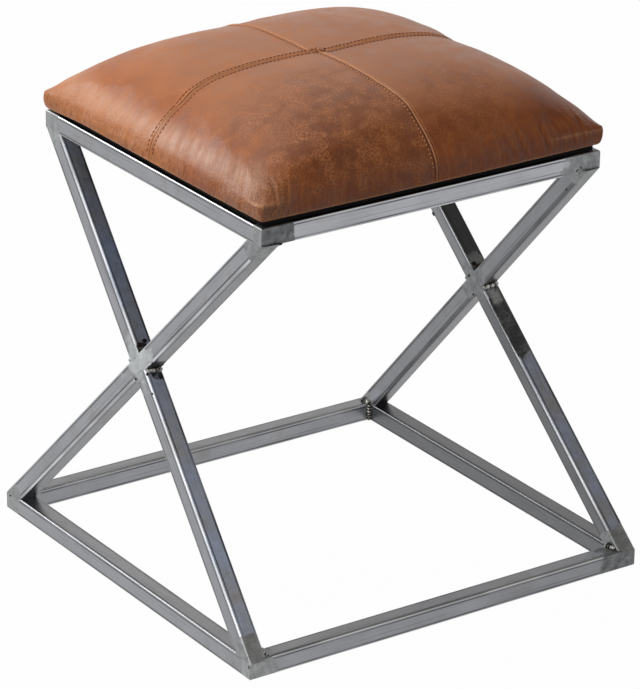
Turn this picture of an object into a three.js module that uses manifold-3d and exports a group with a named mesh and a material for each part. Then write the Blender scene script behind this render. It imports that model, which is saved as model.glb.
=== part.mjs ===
import * as THREE from 'three';
import { mergeVertices } from 'three/addons/utils/BufferGeometryUtils.js';
import Module from 'manifold-3d';

const wasm = await Module();
wasm.setup();

// A square stool: a crowned leather seat on a welded frame of square steel tube, in millimetres.
// +X runs from the left X of legs to the right one, -Y faces the open front, +Z points up.
// The origin is the middle of the base ring, on the floor.

// Square steel tube
const TUBE_SIZE = 19;
const TUBE_WALL = 1.5;
const TUBE_EDGE_RADIUS = 1.6;

// Frame, over the outside of the tubes
const TOP_WIDTH = 380;
const TOP_DEPTH = 380;
const BASE_WIDTH = 448;
const BASE_DEPTH = 448;
const FRAME_HEIGHT = 428;
const JOINT_GAP = 0.3;

// Weld beads: the side of the fillet that each bead fills
const RING_BEAD_SIZE = 4;
const CROSS_BEAD_SIZE = 5;
const LEG_BEAD_SIZE = 4;

// Corner plates inside the top ring, which the seat is screwed to
const PLATE_LEG = 42;
const PLATE_TIP = 9;
const PLATE_THICKNESS = 3;
const SCREW_INSET = 14;

// Pan head screws, up through the plates into the seat board
const SCREW_DIAMETER = 4.2;
const SCREW_HEAD_DIAMETER = 8.4;
const SCREW_HEAD_HEIGHT = 2.8;
const SCREW_TIP = 4;
const SCREW_BITE_SHARE = 0.75;
const SCREW_CLEARANCE = 0.6;

// Boards and cloth of the seat
const BASE_BOARD_THICKNESS = 6.5;
const BASE_BOARD_INSET = 4;
const BASE_BOARD_CORNER_RADIUS = 4;
const DUST_COVER_THICKNESS = 0.6;
const DUST_COVER_INSET = 9;
const DUST_COVER_HOLE_DIAMETER = 9;
const SEAT_BOARD_THICKNESS = 12;
const SEAT_BOARD_INSET = 7;
const SEAT_BOARD_CORNER_RADIUS = 15;
const LAYER_GAP = 0.3;

// Leather cover, foam and wadding
const LEATHER_THICKNESS = 1.2;
const WADDING_THICKNESS = 5;
const PAD_OVERHANG = 1.2;
const SIDE_SWELL = 1.7;
const SIDE_BULGE = 0.8;
const SIDE_HEIGHT = 12.5;
const TUCK_RADIUS = 3.5;
const TURN_UNDER_CLEARANCE = 4;
const CROWN_HEIGHT = 57.8;
const SEAM_REACH = 5;
const SEAM_DEPTH = 1.2;
const SOFT_GAP = 0.3;

// How far a cutter runs past what it cuts
const CUT_OVERRUN = 5;

// Shape of the crown: exponents of its profile, and how much its corners fall away
const CROWN_SPREAD_POWER = 3.73;
const CROWN_RISE_POWER = 1.5;
const CORNER_FALL_SHARE = 0.08;

// How far a bead's face is drawn back from the corner of its square
const BEAD_HOLLOW_SHARE = 0.25;

// Facets
const EDGE_SEGMENTS = 3;
const HOLE_SEGMENTS = 6;
const SCREW_SEGMENTS = 12;
const BEAD_SEGMENTS = 3;
const CROWN_STEPS = 7;

// Heights, from the frame up through the seat
const topRingUnderside = FRAME_HEIGHT - TUBE_SIZE;
const baseBoardBottom = FRAME_HEIGHT + LAYER_GAP;
const baseBoardTop = baseBoardBottom + BASE_BOARD_THICKNESS;
const dustCoverBottom = baseBoardTop + LAYER_GAP;
const leatherBottom = dustCoverBottom + DUST_COVER_THICKNESS + LAYER_GAP;
const seatBoardBottom = leatherBottom + LEATHER_THICKNESS + LAYER_GAP;
const seatBoardTop = seatBoardBottom + SEAT_BOARD_THICKNESS;
const padBottom = seatBoardTop + SOFT_GAP;
const ridgeHeight = leatherBottom + SIDE_HEIGHT;

const steel = new THREE.MeshStandardMaterial({ color: '#8d8f92', roughness: 0.42, metalness: 1 });
const weldSteel = new THREE.MeshStandardMaterial({ color: '#77736d', roughness: 0.38, metalness: 1 });
const zincSteel = new THREE.MeshStandardMaterial({ color: '#b9bcc0', roughness: 0.35, metalness: 1 });
const blackBoard = new THREE.MeshStandardMaterial({ color: '#15151a', roughness: 0.7 });
const blackCloth = new THREE.MeshStandardMaterial({ color: '#1b1b1d', roughness: 0.95 });
const plywood = new THREE.MeshStandardMaterial({ color: '#c9a878', roughness: 0.75 });
const foam = new THREE.MeshStandardMaterial({ color: '#e8dcb4', roughness: 0.95 });
const wadding = new THREE.MeshStandardMaterial({ color: '#f2f1ee', roughness: 1 });
const leather = new THREE.MeshStandardMaterial({ color: '#a5673f', roughness: 0.48 });

const stool = new THREE.Group();
stool.name = 'x_frame_stool';

// The four corners of a ring, as signs of X and Y
const CORNERS = [
  { label: 'front_left', x: -1, y: -1 },
  { label: 'front_right', x: 1, y: -1 },
  { label: 'back_right', x: 1, y: 1 },
  { label: 'back_left', x: -1, y: 1 },
];

function addPiece(parent, name, geometry, material) {
  const mesh = new THREE.Mesh(geometry, material);
  mesh.name = name;
  parent.add(mesh);
  return mesh;
}

// Solids

function toSolid(geometry) {
  const bare = geometry.clone();
  bare.deleteAttribute('normal');
  bare.deleteAttribute('uv');
  const merged = mergeVertices(bare);
  const vertProperties = Float32Array.from(merged.attributes.position.array);
  const triVerts = Uint32Array.from(merged.index.array);
  return new wasm.Manifold(new wasm.Mesh({ numProp: 3, vertProperties, triVerts }));
}

function toGeometry(solid) {
  const { vertProperties, triVerts } = solid.getMesh();
  const geometry = new THREE.BufferGeometry();
  geometry.setAttribute('position', new THREE.BufferAttribute(Float32Array.from(vertProperties), 3));
  geometry.setIndex(new THREE.BufferAttribute(Uint32Array.from(triVerts), 1));
  return geometry;
}

function boxBetween(low, high) {
  const size = new THREE.Vector3().subVectors(high, low);
  const middle = new THREE.Vector3().addVectors(low, high).multiplyScalar(0.5);
  return new THREE.BoxGeometry(size.x, size.y, size.z).translate(middle.x, middle.y, middle.z);
}

// Square tube: its section lies in its own XY plane, and its ends slide along Z to the planes that cut it

function traceSquare(path, half, radius) {
  const centre = half - radius;
  CORNERS.forEach(({ x, y }, turn) => {
    const start = Math.PI + turn * Math.PI / 2;
    path.absarc(x * centre, y * centre, radius, start, start + Math.PI / 2, false);
  });
  path.closePath();
}

function tubeSection() {
  const half = TUBE_SIZE / 2;
  const bore = half - TUBE_WALL;
  const section = new THREE.Shape();
  traceSquare(section, half, TUBE_EDGE_RADIUS);
  section.holes.push(new THREE.Path(CORNERS.map(({ x, y }) => new THREE.Vector2(x * bore, y * bore))));
  return section;
}

function cutTube(mesh, startPlane, endPlane) {
  const geometry = new THREE.ExtrudeGeometry(tubeSection(), {
    depth: 1, steps: 1, bevelEnabled: false, curveSegments: EDGE_SEGMENTS,
  });
  mesh.updateWorldMatrix(true, false);
  const toLocal = mesh.matrixWorld.clone().invert();
  const start = startPlane.clone().applyMatrix4(toLocal);
  const end = endPlane.clone().applyMatrix4(toLocal);
  const position = geometry.attributes.position;
  for (let i = 0; i < position.count; i++) {
    const { normal, constant } = position.getZ(i) > 0 ? end : start;
    const across = normal.x * position.getX(i) + normal.y * position.getY(i);
    position.setZ(i, -(across + constant) / normal.z);
  }
  mesh.geometry = geometry;
}

function planeThrough(normal, point) {
  return new THREE.Plane().setFromNormalAndCoplanarPoint(normal.clone().normalize(), point);
}

function levelPlane(height) {
  return new THREE.Plane(new THREE.Vector3(0, 0, 1), -height);
}

// Rings: four tubes, mitred at 45 degrees where they meet

function mitrePlane(width, depth, corner, alongX) {
  const normal = new THREE.Vector3(corner.x, -corner.y, 0).multiplyScalar(alongX ? 1 : -1);
  const plane = planeThrough(normal, new THREE.Vector3(corner.x * width / 2, corner.y * depth / 2, 0));
  plane.constant += JOINT_GAP / 2;
  return plane;
}

function addRing(prefix, width, depth, bottom) {
  const middle = bottom + TUBE_SIZE / 2;
  for (const [label, side] of [['front', -1], ['back', 1]]) {
    const rail = addPiece(stool, `${prefix}_rail_${label}`, undefined, steel);
    rail.position.set(0, side * (depth - TUBE_SIZE) / 2, middle);
    rail.rotation.y = Math.PI / 2;
    const [start, end] = [-1, 1].map((x) => mitrePlane(width, depth, { x, y: side }, true));
    cutTube(rail, start, end);
  }
  for (const [label, side] of [['left', -1], ['right', 1]]) {
    const rail = addPiece(stool, `${prefix}_rail_${label}`, undefined, steel);
    rail.position.set(side * (width - TUBE_SIZE) / 2, 0, middle);
    rail.rotation.x = -Math.PI / 2;
    const [start, end] = [-1, 1].map((y) => mitrePlane(width, depth, { x: side, y }, false));
    cutTube(rail, start, end);
  }
}

// Legs: an X on each side, in a plane that leans in from the base ring to the smaller top ring

const leanRun = (BASE_WIDTH - TOP_WIDTH) / 2;
const leanRise = topRingUnderside - TUBE_SIZE;
const leanAngle = Math.atan2(leanRun, leanRise);
const slopeLength = Math.hypot(leanRun, leanRise);

// Each leg's lower edge starts at a corner of the top ring, and its upper edge ends at one of the base ring
const legRun = (TOP_DEPTH + BASE_DEPTH) / 2;
const legTilt = Math.atan2(legRun, slopeLength) - Math.asin(TUBE_SIZE / Math.hypot(legRun, slopeLength));
const legMiddleY = (BASE_DEPTH - TOP_DEPTH) / 4;

function tubeFacePlane(leg, side) {
  const local = new THREE.Plane(new THREE.Vector3(0, 1, 0), -side * (TUBE_SIZE / 2 + JOINT_GAP));
  return local.applyMatrix4(leg.matrixWorld);
}

function addLeg(plane, name, side, tilt, middleY) {
  const leg = addPiece(plane, name, undefined, steel);
  leg.position.set(-side * TUBE_SIZE / 2, middleY, slopeLength / 2);
  leg.rotation.x = tilt;
  return leg;
}

function addLegs(label, side) {
  const plane = new THREE.Group();
  plane.position.set(side * BASE_WIDTH / 2, 0, TUBE_SIZE);
  plane.rotation.y = -side * leanAngle;
  stool.add(plane);
  const foot = levelPlane(TUBE_SIZE + JOINT_GAP);
  const head = levelPlane(topRingUnderside - JOINT_GAP);
  const through = addLeg(plane, `${label}_leg_through`, side, legTilt, legMiddleY);
  cutTube(through, foot, head);
  const upper = addLeg(plane, `${label}_leg_upper_half`, side, -legTilt, -legMiddleY);
  cutTube(upper, tubeFacePlane(through, 1), head);
  const lower = addLeg(plane, `${label}_leg_lower_half`, side, -legTilt, -legMiddleY);
  cutTube(lower, foot, tubeFacePlane(through, -1));
  return plane;
}

// Weld beads: a convex fillet between two faces that leave the same edge in the given directions

function beadSection(angle, size) {
  const apex = new THREE.Vector2(Math.cos(angle / 2), Math.sin(angle / 2))
    .multiplyScalar(JOINT_GAP / Math.sin(angle / 2));
  const first = apex.clone().add(new THREE.Vector2(size, 0));
  const last = apex.clone().add(new THREE.Vector2(Math.cos(angle), Math.sin(angle)).multiplyScalar(size));
  const swell = first.clone().add(last).sub(apex).lerp(apex, BEAD_HOLLOW_SHARE);
  const section = new THREE.Shape();
  section.moveTo(apex.x, apex.y);
  section.lineTo(first.x, first.y);
  section.quadraticCurveTo(swell.x, swell.y, last.x, last.y);
  section.closePath();
  return section;
}

function bead(edgeMiddle, faceA, faceB, size, length) {
  const along = new THREE.Vector3().crossVectors(faceA, faceB).normalize();
  const across = new THREE.Vector3().crossVectors(along, faceA);
  const geometry = new THREE.ExtrudeGeometry(beadSection(faceA.angleTo(faceB), size), {
    depth: length, steps: 1, bevelEnabled: false, curveSegments: BEAD_SEGMENTS,
  });
  geometry.translate(0, 0, -length / 2);
  geometry.applyMatrix4(new THREE.Matrix4().makeBasis(faceA, across, along));
  return geometry.translate(edgeMiddle.x, edgeMiddle.y, edgeMiddle.z);
}

// Upright beads in the four inner corners of a ring
function addRingBeads(prefix, width, depth, bottom, top) {
  for (const { label, x, y } of CORNERS) {
    const edge = new THREE.Vector3(
      x * (width / 2 - TUBE_SIZE), y * (depth / 2 - TUBE_SIZE), (bottom + top) / 2);
    const faces = [new THREE.Vector3(-x, 0, 0), new THREE.Vector3(0, -y, 0)];
    addPiece(stool, `${prefix}_${label}`, bead(edge, ...faces, RING_BEAD_SIZE, top - bottom), weldSteel);
  }
}

// Beads in the four angles of a crossing, through the depth of the tubes
function addCrossBeads(plane, prefix, side) {
  const half = TUBE_SIZE / 2;
  const up = slopeLength / 2 + legMiddleY / Math.tan(legTilt);
  const throughUp = new THREE.Vector3(0, -Math.sin(legTilt), Math.cos(legTilt));
  const halvesUp = new THREE.Vector3(0, Math.sin(legTilt), Math.cos(legTilt));
  const reachY = half / Math.cos(legTilt);
  const reachZ = half / Math.sin(legTilt);
  const angles = [
    { label: 'front', y: -reachY, z: 0, a: throughUp, b: halvesUp.clone().negate() },
    { label: 'back', y: reachY, z: 0, a: throughUp.clone().negate(), b: halvesUp },
    { label: 'upper', y: 0, z: reachZ, a: throughUp, b: halvesUp },
    { label: 'lower', y: 0, z: -reachZ, a: throughUp.clone().negate(), b: halvesUp.clone().negate() },
  ];
  const length = TUBE_SIZE - 2 * TUBE_EDGE_RADIUS;
  for (const { label, y, z, a, b } of angles) {
    const edge = new THREE.Vector3(-side * half, y, up + z);
    addPiece(plane, `${prefix}_${label}`, bead(edge, a, b, CROSS_BEAD_SIZE, length), weldSteel);
  }
}

// Beads between the inner face of each leg and the front and back rails, at a height where they meet
function addLegBeads(prefix, width, depth, height, upwards) {
  const setBack = LEG_BEAD_SIZE * 1.25;
  const length = TUBE_SIZE - setBack;
  for (const { label, x, y } of CORNERS) {
    const edge = new THREE.Vector3(
      x * (width / 2 - TUBE_SIZE / Math.cos(leanAngle)), y * (depth / 2 - setBack - length / 2), height);
    const alongRail = new THREE.Vector3(-x, 0, 0);
    const alongLeg = new THREE.Vector3(-x * Math.sin(leanAngle), 0, Math.cos(leanAngle));
    const geometry = bead(edge, alongRail, alongLeg.multiplyScalar(upwards), LEG_BEAD_SIZE, length);
    addPiece(stool, `${prefix}_${label}`, geometry, weldSteel);
  }
}

// Corner plates and screws

// Each plate is drawn at the front left corner, and turned to its own
function addCornerPlates() {
  const outline = [
    [JOINT_GAP, JOINT_GAP], [PLATE_LEG, JOINT_GAP], [PLATE_LEG, PLATE_TIP],
    [PLATE_TIP, PLATE_LEG], [JOINT_GAP, PLATE_LEG],
  ];
  const shape = new THREE.Shape(outline.map(([x, y]) => new THREE.Vector2(x, y)));
  const hole = new THREE.Path();
  hole.absarc(SCREW_INSET, SCREW_INSET, (SCREW_DIAMETER + SCREW_CLEARANCE) / 2, 0, 2 * Math.PI, true);
  shape.holes.push(hole);
  CORNERS.forEach(({ label, x, y }, turn) => {
    const geometry = new THREE.ExtrudeGeometry(shape, {
      depth: PLATE_THICKNESS, steps: 1, bevelEnabled: false, curveSegments: HOLE_SEGMENTS,
    });
    const plate = addPiece(stool, `corner_plate_${label}`, geometry, steel);
    plate.rotation.z = turn * Math.PI / 2;
    plate.position.set(
      x * (TOP_WIDTH / 2 - TUBE_SIZE), y * (TOP_DEPTH / 2 - TUBE_SIZE), FRAME_HEIGHT - PLATE_THICKNESS);
  });
}

const screwX = TOP_WIDTH / 2 - TUBE_SIZE - SCREW_INSET;
const screwY = TOP_DEPTH / 2 - TUBE_SIZE - SCREW_INSET;
const screwSeat = FRAME_HEIGHT - PLATE_THICKNESS - JOINT_GAP;
const screwLength = seatBoardBottom + SEAT_BOARD_THICKNESS * SCREW_BITE_SHARE - screwSeat;

function addScrews() {
  const shank = SCREW_DIAMETER / 2;
  const head = SCREW_HEAD_DIAMETER / 2;
  const profile = [
    [0, -SCREW_HEAD_HEIGHT], [head * 0.6, -SCREW_HEAD_HEIGHT * 0.85], [head, -SCREW_HEAD_HEIGHT * 0.4],
    [head, 0], [shank, 0], [shank, screwLength - SCREW_TIP], [0, screwLength],
  ].map(([radius, height]) => new THREE.Vector2(radius, height));
  for (const { label, x, y } of CORNERS) {
    const geometry = new THREE.LatheGeometry(profile, SCREW_SEGMENTS);
    const screw = addPiece(stool, `seat_screw_${label}`, geometry, zincSteel);
    screw.rotation.x = Math.PI / 2;
    screw.position.set(x * screwX, y * screwY, screwSeat);
  }
}

// Flat layers of the seat: a rounded rectangle with a hole at each screw

function layerShape(width, depth, inset, cornerRadius, holeDiameter) {
  const shape = new THREE.Shape();
  CORNERS.forEach(({ x, y }, turn) => {
    const start = Math.PI + turn * Math.PI / 2;
    shape.absarc(
      x * (width / 2 - inset - cornerRadius), y * (depth / 2 - inset - cornerRadius),
      cornerRadius, start, start + Math.PI / 2, false);
  });
  shape.closePath();
  for (const { x, y } of holeDiameter ? CORNERS : []) {
    const hole = new THREE.Path();
    hole.absarc(x * screwX, y * screwY, holeDiameter / 2, 0, 2 * Math.PI, true);
    shape.holes.push(hole);
  }
  return shape;
}

function addLayer(name, shape, bottom, thickness, material) {
  const geometry = new THREE.ExtrudeGeometry(shape, {
    depth: thickness, steps: 1, bevelEnabled: false, curveSegments: HOLE_SEGMENTS,
  });
  const layer = addPiece(stool, name, geometry, material);
  layer.position.z = bottom;
  return layer;
}

function addBoards() {
  const screwHole = SCREW_DIAMETER + SCREW_CLEARANCE;
  addLayer('base_board',
    layerShape(TOP_WIDTH, TOP_DEPTH, BASE_BOARD_INSET, BASE_BOARD_CORNER_RADIUS, screwHole),
    baseBoardBottom, BASE_BOARD_THICKNESS, blackBoard);
  addLayer('dust_cover',
    layerShape(TOP_WIDTH, TOP_DEPTH, DUST_COVER_INSET, BASE_BOARD_CORNER_RADIUS, DUST_COVER_HOLE_DIAMETER),
    dustCoverBottom, DUST_COVER_THICKNESS, blackCloth);
  const board = addLayer('seat_board',
    layerShape(TOP_WIDTH, TOP_DEPTH, SEAT_BOARD_INSET, SEAT_BOARD_CORNER_RADIUS, 0),
    seatBoardBottom, SEAT_BOARD_THICKNESS, plywood);
  // Blind pilot holes, open at the underside, take the ends of the screws
  const pilotTop = screwSeat + screwLength + SCREW_CLEARANCE - seatBoardBottom;
  const pilotHeight = pilotTop + CUT_OVERRUN;
  let solid = toSolid(board.geometry);
  for (const { x, y } of CORNERS) {
    const pilot = new THREE.CylinderGeometry(screwHole / 2, screwHole / 2, pilotHeight, 2 * HOLE_SEGMENTS)
      .rotateX(Math.PI / 2).translate(x * screwX, y * screwY, pilotTop - pilotHeight / 2);
    solid = solid.subtract(toSolid(pilot));
  }
  board.geometry = toGeometry(solid);
}

// The cushion: one crowned form, which the leather, the wadding and the foam share at their own offsets

const padHalfWidth = TOP_WIDTH / 2 + PAD_OVERHANG;
const padHalfDepth = TOP_DEPTH / 2 + PAD_OVERHANG;

function riseAt(share) {
  return Math.max(1 - Math.abs(share) ** CROWN_SPREAD_POWER, 0) ** (1 / CROWN_RISE_POWER);
}

function crownShare(u, v) {
  return riseAt(u) * riseAt(v) * (1 - CORNER_FALL_SHARE * u * u * v * v);
}

// The sewn channels run along both middle lines, and draw the surface in by their depth
function seamDip(u, v) {
  const toSeam = Math.min(Math.abs(u) * padHalfWidth, Math.abs(v) * padHalfDepth);
  return SEAM_DEPTH * Math.max(1 - toSeam / SEAM_REACH, 0);
}

function padPoint(u, v, inset, height) {
  const drawnIn = inset + seamDip(u, v);
  return [
    u * (padHalfWidth - drawnIn + SIDE_SWELL * (1 - v * v)),
    v * (padHalfDepth - drawnIn + SIDE_SWELL * (1 - u * u)),
    height,
  ];
}

function stations(half) {
  const quarterTurn = Math.PI / 2;
  const steps = Array.from({ length: CROWN_STEPS }, (_, i) => Math.sin(quarterTurn * (i + 1) / CROWN_STEPS));
  const positive = [SEAM_REACH / half, ...steps];
  return [...positive.map((s) => -s).reverse(), 0, ...positive];
}

// Rows of the side below the ridge: a slight belly, then a round edge where the cover turns under
function outerSide() {
  const round = TUCK_RADIUS;
  return [
    { inset: -SIDE_BULGE, height: ridgeHeight - SIDE_HEIGHT * 0.4 },
    { inset: 0, height: leatherBottom + round },
    { inset: round * 0.3, height: leatherBottom + round * 0.3 },
    { inset: round, height: leatherBottom },
  ];
}

function innerSide() {
  return [
    { inset: LEATHER_THICKNESS, height: leatherBottom + TUCK_RADIUS },
    { inset: TUCK_RADIUS, height: leatherBottom + LEATHER_THICKNESS },
  ];
}

// The rim of a grid of points, once round, anticlockwise from above
function rimOf(us, vs) {
  const across = us.length;
  const lastU = across - 1;
  const lastV = vs.length - 1;
  const rim = [];
  for (let i = 0; i < lastU; i++) rim.push({ u: us[i], v: vs[0], at: i });
  for (let j = 0; j < lastV; j++) rim.push({ u: us[lastU], v: vs[j], at: j * across + lastU });
  for (let i = lastU; i > 0; i--) rim.push({ u: us[i], v: vs[lastV], at: lastV * across + i });
  for (let j = lastV; j > 0; j--) rim.push({ u: us[0], v: vs[j], at: j * across });
  return rim;
}

// A closed pillow, the offset inside the cover's outer face: a crown, the rows of the side, a flat bottom
function pillow(offset, rows) {
  const us = stations(padHalfWidth);
  const vs = stations(padHalfDepth);
  const points = vs.flatMap((v) => us.map((u) => {
    const rise = (CROWN_HEIGHT - seamDip(u, v)) * crownShare(u, v);
    return padPoint(u, v, offset, ridgeHeight - offset + rise);
  }));
  const faces = [];
  const addQuad = (a, b, c, d) => faces.push(a, b, c, a, c, d);
  for (let j = 0; j < vs.length - 1; j++) {
    for (let i = 0; i < us.length - 1; i++) {
      const at = j * us.length + i;
      addQuad(at, at + 1, at + us.length + 1, at + us.length);
    }
  }
  const rim = rimOf(us, vs);
  let above = rim.map(({ at }) => at);
  for (const { inset, height } of rows) {
    const below = rim.map(({ u, v }) => points.push(padPoint(u, v, inset, height)) - 1);
    above.forEach((at, i) => {
      const next = (i + 1) % rim.length;
      addQuad(at, below[i], below[next], above[next]);
    });
    above = below;
  }
  const centre = points.push([0, 0, points[above[0]][2]]) - 1;
  above.forEach((at, i) => faces.push(at, centre, above[(i + 1) % rim.length]));
  const geometry = new THREE.BufferGeometry();
  geometry.setAttribute('position', new THREE.Float32BufferAttribute(points.flat(), 3));
  geometry.setIndex(faces);
  return geometry;
}

function addPad() {
  const reach = Math.max(TOP_WIDTH, TOP_DEPTH);
  const abovePlane = toSolid(boxBetween(
    new THREE.Vector3(-reach, -reach, padBottom), new THREE.Vector3(reach, reach, padBottom + reach)));
  const waddingOffset = LEATHER_THICKNESS + SOFT_GAP;
  const foamOffset = waddingOffset + WADDING_THICKNESS + SOFT_GAP;
  const block = toSolid(pillow(foamOffset, [])).intersect(abovePlane);
  addPiece(stool, 'foam_pad', toGeometry(block), foam);
  const layer = toSolid(pillow(waddingOffset, []))
    .subtract(toSolid(pillow(waddingOffset + WADDING_THICKNESS, []))).intersect(abovePlane);
  addPiece(stool, 'wadding_layer', toGeometry(layer), wadding);
}

function addLeather() {
  const inner = toSolid(pillow(LEATHER_THICKNESS, innerSide()));
  // The edge that turns under the seat board stops short of the screws
  const openX = screwX + SCREW_DIAMETER / 2 + TURN_UNDER_CLEARANCE;
  const openY = screwY + SCREW_DIAMETER / 2 + TURN_UNDER_CLEARANCE;
  const opening = toSolid(boxBetween(
    new THREE.Vector3(-openX, -openY, leatherBottom - CUT_OVERRUN),
    new THREE.Vector3(openX, openY, leatherBottom + CUT_OVERRUN)));
  const cover = toSolid(pillow(0, outerSide())).subtract(inner).subtract(opening);
  for (const { label, x, y } of CORNERS) {
    const near = [x, y].map((sign) => sign * SOFT_GAP / 2);
    const far = [x * TOP_WIDTH, y * TOP_DEPTH];
    const [low, high] = [Math.min, Math.max].map((pick) => near.map((value, i) => pick(value, far[i])));
    const quarter = toSolid(boxBetween(
      new THREE.Vector3(...low, leatherBottom - CUT_OVERRUN),
      new THREE.Vector3(...high, ridgeHeight + CROWN_HEIGHT + CUT_OVERRUN)));
    addPiece(stool, `leather_panel_${label}`, toGeometry(cover.intersect(quarter)), leather);
  }
}

addRing('top', TOP_WIDTH, TOP_DEPTH, topRingUnderside);
addRing('base', BASE_WIDTH, BASE_DEPTH, 0);
for (const [label, side] of [['left', -1], ['right', 1]]) {
  const plane = addLegs(label, side);
  addCrossBeads(plane, `${label}_cross_weld`, side);
}
addRingBeads('top_ring_weld', TOP_WIDTH, TOP_DEPTH,
  topRingUnderside + TUBE_EDGE_RADIUS, FRAME_HEIGHT - PLATE_THICKNESS - JOINT_GAP);
addRingBeads('base_ring_weld', BASE_WIDTH, BASE_DEPTH, TUBE_EDGE_RADIUS, TUBE_SIZE - TUBE_EDGE_RADIUS);
addLegBeads('leg_head_weld', TOP_WIDTH, TOP_DEPTH, topRingUnderside, -1);
addLegBeads('leg_foot_weld', BASE_WIDTH, BASE_DEPTH, TUBE_SIZE, 1);
addCornerPlates();
addScrews();
addBoards();
addPad();
addLeather();

export default stool;
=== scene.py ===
import math
from functools import partial

import bmesh
import bpy
from mathutils import Matrix, Vector, kdtree, noise
from mathutils.bvhtree import BVHTree


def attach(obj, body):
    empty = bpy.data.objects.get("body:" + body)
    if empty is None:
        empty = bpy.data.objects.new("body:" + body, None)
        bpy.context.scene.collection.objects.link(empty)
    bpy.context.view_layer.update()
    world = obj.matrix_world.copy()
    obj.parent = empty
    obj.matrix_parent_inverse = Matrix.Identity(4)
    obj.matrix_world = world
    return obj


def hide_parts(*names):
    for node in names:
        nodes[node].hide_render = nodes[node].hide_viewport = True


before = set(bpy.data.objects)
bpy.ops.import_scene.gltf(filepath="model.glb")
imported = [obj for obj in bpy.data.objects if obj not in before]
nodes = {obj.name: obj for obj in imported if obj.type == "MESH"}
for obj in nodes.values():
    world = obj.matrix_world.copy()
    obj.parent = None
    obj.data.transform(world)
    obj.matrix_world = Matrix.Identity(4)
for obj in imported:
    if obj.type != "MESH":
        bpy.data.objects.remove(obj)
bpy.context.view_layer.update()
scene = bpy.context.scene
mm = 0.001
print("stool frame loaded:", len(nodes), "nodes")

# The picture is shown as written: no tone curve and no exposure change
scene.view_settings.view_transform = "Standard"


# Small helpers that every piece and material uses

def linearColour(hexText):
    channels = [int(hexText[i:i + 2], 16) / 255 for i in (1, 3, 5)]
    return [c / 12.92 if c <= 0.04045 else ((c + 0.055) / 1.055) ** 2.4 for c in channels] + [1.0]


def addNode(tree, kind, *inputs, **settings):
    # Inputs come in the order that the node shows them, or by name in a dictionary. Each is a value,
    # a hex colour, or the node or output that feeds it.
    node = tree.nodes.new("ShaderNode" + kind)
    for name, value in settings.items():
        setattr(node, name, value)
    byName = bool(inputs) and isinstance(inputs[0], dict)
    sockets = node.inputs if byName else [socket for socket in node.inputs if socket.enabled]
    for place, value in inputs[0].items() if byName else enumerate(inputs):
        if isinstance(value, bpy.types.Node):
            value = next(output for output in value.outputs if output.enabled)
        if isinstance(value, bpy.types.NodeSocket):
            tree.links.new(value, sockets[place])
        else:
            sockets[place].default_value = linearColour(value) if isinstance(value, str) else value
    return node


def startMaterial(name):
    material = bpy.data.materials.new(name)
    material.use_nodes = True
    material.node_tree.nodes.clear()
    add = partial(addNode, material.node_tree)
    return material, add, add("TexCoord").outputs["Object"]


def shareOf(add, *factors):
    # The product of its factors: nodes, numbers, and tuples of a node with the range that it is mapped
    # from and, where that isn't 0 to 1, the range that it is mapped to
    share = None
    for factor in factors:
        if isinstance(factor, tuple):
            factor = add("MapRange", *factor)
        share = factor if share is None else add("Math", share, factor, operation="MULTIPLY")
    return share


def layered(add, colour, *layers):
    # Blends a colour to each layer's own colour in turn, by the product of that layer's factors
    for tint, *factors in layers:
        colour = add("Mix", shareOf(add, *factors), colour, tint, data_type="RGBA")
    return colour


def floatLayers(bm, *names):
    return [bm.verts.layers.float.new(name) for name in names]


def ofKind(geometry, kind):
    return [part for part in geometry if isinstance(part, getattr(bmesh.types, kind))]


def inMetres(bm):
    # The shapes are drawn in millimetres
    bmesh.ops.scale(bm, verts=bm.verts, vec=(mm, mm, mm))


def addThickness(piece, name, thickness, side):
    skin = piece.modifiers.new(name, "SOLIDIFY")
    skin.thickness = thickness * mm
    skin.offset = side


def smoothStep(low, high, value):
    share = min(max((value - low) / (high - low), 0), 1)
    return share * share * (3 - 2 * share)


def bump(centre, width, value):
    return math.exp(-((value - centre) / width) ** 2)


def meshObject(name, bm):
    mesh = bpy.data.meshes.new(name)
    bm.to_mesh(mesh)
    bm.free()
    thing = bpy.data.objects.new(name, mesh)
    scene.collection.objects.link(thing)
    return thing


def addPiece(name, bm, material, slotName, *replaced):
    piece = meshObject(name, bm)
    piece.data.polygons.foreach_set("use_smooth", [True] * len(piece.data.polygons))
    piece.data.materials.append(material)
    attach(piece, "root")
    if replaced:
        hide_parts(*replaced)
    return piece


# Camera

cameraSettings = {
    "azimuth": -34.084, "elevation": 22.854, "roll": 0.468,  # degrees
    "distance": 3.9372, "target": (0.00252, 0, 0.20536),  # metres
    "lens": 227.8, "sensorWidth": 36,  # millimetres
}


def addCamera():
    azimuth, elevation, roll = (
        math.radians(cameraSettings[k]) for k in ("azimuth", "elevation", "roll"))
    back = Vector((math.sin(azimuth) * math.cos(elevation),
                   -math.cos(azimuth) * math.cos(elevation), math.sin(elevation)))
    level = Vector((math.cos(azimuth), math.sin(azimuth), 0))
    upright = back.cross(level)
    right = math.cos(roll) * level + math.sin(roll) * upright
    up = -math.sin(roll) * level + math.cos(roll) * upright
    lens = bpy.data.cameras.new("photo_camera")
    lens.sensor_fit = "HORIZONTAL"
    lens.sensor_width = cameraSettings["sensorWidth"]
    lens.lens = cameraSettings["lens"]
    lens.clip_end = 100
    camera = bpy.data.objects.new("photo_camera", lens)
    place = Vector(cameraSettings["target"]) + back * cameraSettings["distance"]
    camera.matrix_world = Matrix((right, up, back)).transposed().to_4x4()
    camera.location = place
    scene.collection.objects.link(camera)
    scene.camera = camera


addCamera()


# Studio: a pale floor, a pale surround under a dimmer ceiling, and soft lamps from the left

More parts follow.
